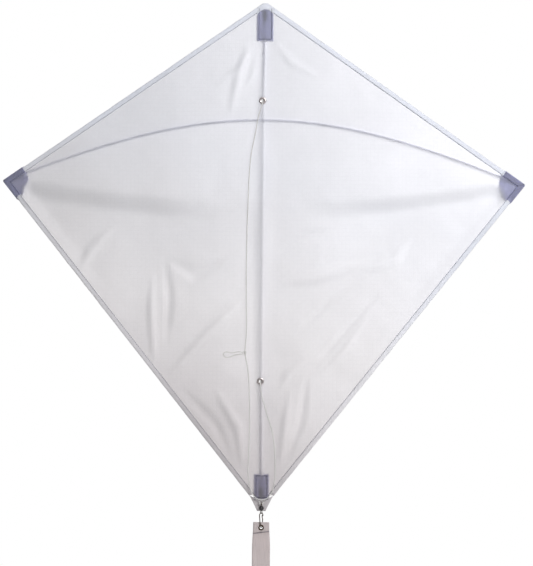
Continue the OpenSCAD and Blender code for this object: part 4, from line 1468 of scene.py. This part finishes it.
class KITE_OT_tail(bpy.types.Operator):
    """Fold the ribbon tail, sew its top and tie its hank"""

    bl_idname = "kite.tail"
    bl_label = "Tail"

    def execute(self, context):
        tail, trim = context.scene.kite_tail, context.scene.kite_trim
        look = finishes(context.scene)
        path = self.path(tail)
        lengths = marks([Vector(place[:2]) for place in path])
        low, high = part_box("tail_ribbon")
        wide = (high.x - low.x) / 2
        columns = 10
        bm = net(columns, len(path) - 1)
        uv = bm.loops.layers.uv.verify()
        rows = len(path) - 1
        hank_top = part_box("tail_hank")[1].z
        for v in bm.verts:
            k = min(rows, round(v.co.y * rows))
            y, z, shift = path[k]
            taper = 1.3 * MM * smooth(-0.035, 0.0, z - high.z) if k < 60 else 0.0
            across = (v.co.x * 2 - 1) * (wide - taper)
            curl = 0.0
            if z > hank_top:
                free = smooth(0.010, 0.045, high.z - z)
                wave = 0.35 * MM * math.sin(across * 420 + z * 60)
                curl = free * (0.9 * MM * (across / wide) ** 2 + wave)
            v.co = (across + shift, y - curl, z)
        bm.verts.index_update()
        for face in bm.faces:
            for loop in face.loops:
                k, m = divmod(loop.vert.index, columns + 1)
                loop[uv].uv = (lengths[min(k, rows)], m / columns * 2 * wide)
        self.clear(bm)
        piece = finish_piece(
            "tail_ribbon_folded", bm, look["ribbon"], "tail",
            ["tail_ribbon", "tail_hank"])
        thicken(piece, 0.22 * MM, 0)

        bm = bmesh.new()
        front = low.y - 0.12 * MM
        row = [Vector((-10.6 * MM, front, -0.6855)), Vector((0, front, -0.6842)),
               Vector((10.6 * MM, front, -0.6826))]
        stitch_row(bm, row, trim.stitch * 0.6, 2 * trim.thread_d)
        stitches = finish_piece("tail_fold_stitching", bm, look["thread"], "tail")
        tie = self.tie(look["tie"])
        return {"FINISHED"}

    def path(self, tail):
        """The ribbon from its sewn top down and back and forth through the hank: depth,
        height and sideways shift."""
        low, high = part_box("tail_ribbon")
        hank_low, hank_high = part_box("tail_hank")
        y, gap = (low.y + high.y) / 2, 0.17 * MM
        top, fold = high.z, 13 * MM
        steps = 10
        points = [(y - gap, top - fold + fold * k / steps * 0.97, 0.0) for k in range(steps)]
        points += [
            (y - gap * math.cos(a), top - gap + gap * math.sin(a), 0.0)
            for a in (math.pi * k / 6 for k in range(7))]
        drop = top - hank_high.z
        down = 26
        middle_z = (hank_low.z + hank_high.z) / 2
        random.seed(11)
        pitch = 0.70 * MM
        first = -(tail.runs - 1) / 2 * pitch
        for k in range(1, down + 1):
            t = k / down
            bend = 0.9 * MM * math.sin(2.6 * math.pi * t) * smooth(0.15, 0.5, t)
            points.append((
                y + gap + (first - gap) * smooth(0.55, 1.0, t) + bend * (1 - smooth(0.7, 1, t)),
                top - 0.5 * MM - (drop - 0.5 * MM) * t, 0.0))
        used = sum(math.dist(a[:2], b[:2]) for a, b in zip(points, points[1:]))
        run = (tail.length - used) / tail.runs - math.pi * pitch / 2 + pitch
        z_top, z_low = middle_z + run / 2, middle_z - run / 2
        previous = points[-1][1]
        for n in range(tail.runs):
            depth = y + first + pitch * n
            downwards = n % 2 == 0
            shift = random.uniform(-0.35, 0.35) * MM
            ends = random.uniform(-1.4, 1.4) * MM
            a = previous
            b = (z_low if downwards else z_top) + ends
            for k in range(1, 15):
                t = k / 14
                z = a + (b - a) * t
                pinch = 1 - 0.10 * math.exp(-((z - middle_z) / 0.016) ** 2)
                wave = 0.06 * MM * math.sin(9 * t + n)
                points.append((y + (depth - y) * pinch + wave, z, shift))
            if n < tail.runs - 1:
                swell = pitch / 2
                for k in range(1, 7):
                    angle = math.pi * k / 7
                    sign = -1 if downwards else 1
                    points.append((
                        depth + swell - swell * math.cos(angle),
                        b + sign * swell * 1.6 * math.sin(angle), shift))
            previous = b
        return points

    def clear(self, bm):
        """Clears the cloth from the eyelet's hole, on both layers of the fold."""
        low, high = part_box("tail_eyelet")
        centre = (low + high) / 2
        radius = 2.3 * MM
        punch(
            bm, centre, radius, 10, lambda at: (at - centre).length < 7 * MM,
            lambda at: math.hypot(at.x - centre.x, at.z - centre.z) < radius * 0.97)

    def tie(self, material):
        """A flat band round the middle of the hank, its ends lapped."""
        low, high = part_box("tail_tie")
        centre = (low + high) / 2
        half_x, half_y = (high.x - low.x) / 2 - 0.5 * MM, (high.y - low.y) / 2 - 0.9 * MM
        corner = 2.6 * MM
        bm = net(64, 6)
        loop = []
        for cx, cy, start in ((1, -1, -90), (1, 1, 0), (-1, 1, 90), (-1, -1, 180)):
            for k in range(7):
                a = math.radians(start + 90 * k / 6)
                loop.append(Vector((
                    cx * (half_x - corner) + corner * math.cos(a),
                    cy * (half_y - corner) + corner * math.sin(a))))
        loop.append(loop[0].copy())
        along = marks(loop)
        total = along[-1] + 7 * MM

        def at(s):
            lap = s > along[-1]
            s = s % along[-1]
            k = max(i for i in range(len(along) - 1) if along[i] <= s + 1e-12)
            spot = loop[k].lerp(loop[k + 1], (s - along[k]) / (along[k + 1] - along[k]))
            return spot + (spot.normalized() * 0.62 * MM if lap else Vector((0, 0)))

        for v in bm.verts:
            spot = at(min(v.co.x, 0.9999) * total)
            edge = 0.10 * MM * math.sin(v.co.x * 90)
            z = low.z + (high.z - low.z) * v.co.y + edge
            v.co = (centre.x + spot.x, centre.y + spot.y, z)
        bmesh.ops.recalc_face_normals(bm, faces=list(bm.faces))
        piece = finish_piece("tail_tie_band", bm, material, "tail", ["tail_tie"])
        thicken(piece, 0.55 * MM, 0)
        return piece


# ---------------------------------------------------------------- panel and run


class KITE_PT_panel(bpy.types.Panel):
    """Lists the kite's settings and pieces"""

    bl_idname = "KITE_PT_panel"
    bl_label = "Diamond Kite"
    bl_space_type = "VIEW_3D"
    bl_region_type = "UI"
    bl_category = "Kite"

    def draw(self, context):
        layout = self.layout
        for name in SETTINGS:
            box = layout.box()
            group = getattr(context.scene, name)
            for prop in group.__annotations__:
                box.prop(group, prop)
        for piece in OPERATORS:
            layout.operator(piece.bl_idname)


SETTINGS = {
    "kite_sail": KiteSailSettings,
    "kite_trim": KiteTrimSettings,
    "kite_metal": KiteMetalSettings,
    "kite_tail": KiteTailSettings,
    "kite_stage": KiteStageSettings,
}
OPERATORS = (
    KITE_OT_stage, KITE_OT_bridle, KITE_OT_sail, KITE_OT_hems, KITE_OT_pockets,
    KITE_OT_stitching, KITE_OT_rods, KITE_OT_eyelets, KITE_OT_swivel, KITE_OT_tail,
)


def register():
    for cls in (*SETTINGS.values(), *OPERATORS, KITE_PT_panel):
        bpy.utils.register_class(cls)
    for name, cls in SETTINGS.items():
        setattr(bpy.types.Scene, name, PointerProperty(type=cls))


def unregister():
    for name in SETTINGS:
        delattr(bpy.types.Scene, name)
    for cls in reversed((*SETTINGS.values(), *OPERATORS, KITE_PT_panel)):
        bpy.utils.unregister_class(cls)


def main():
    register()
    bpy.ops.kite.stage()
    bpy.ops.kite.bridle()
    bpy.ops.kite.rods()
    bpy.ops.kite.sail()
    bpy.ops.kite.hems()
    bpy.ops.kite.pockets()
    bpy.ops.kite.stitching()
    bpy.ops.kite.eyelets()
    bpy.ops.kite.swivel()
    bpy.ops.kite.tail()


if __name__ == "__main__":
    main()
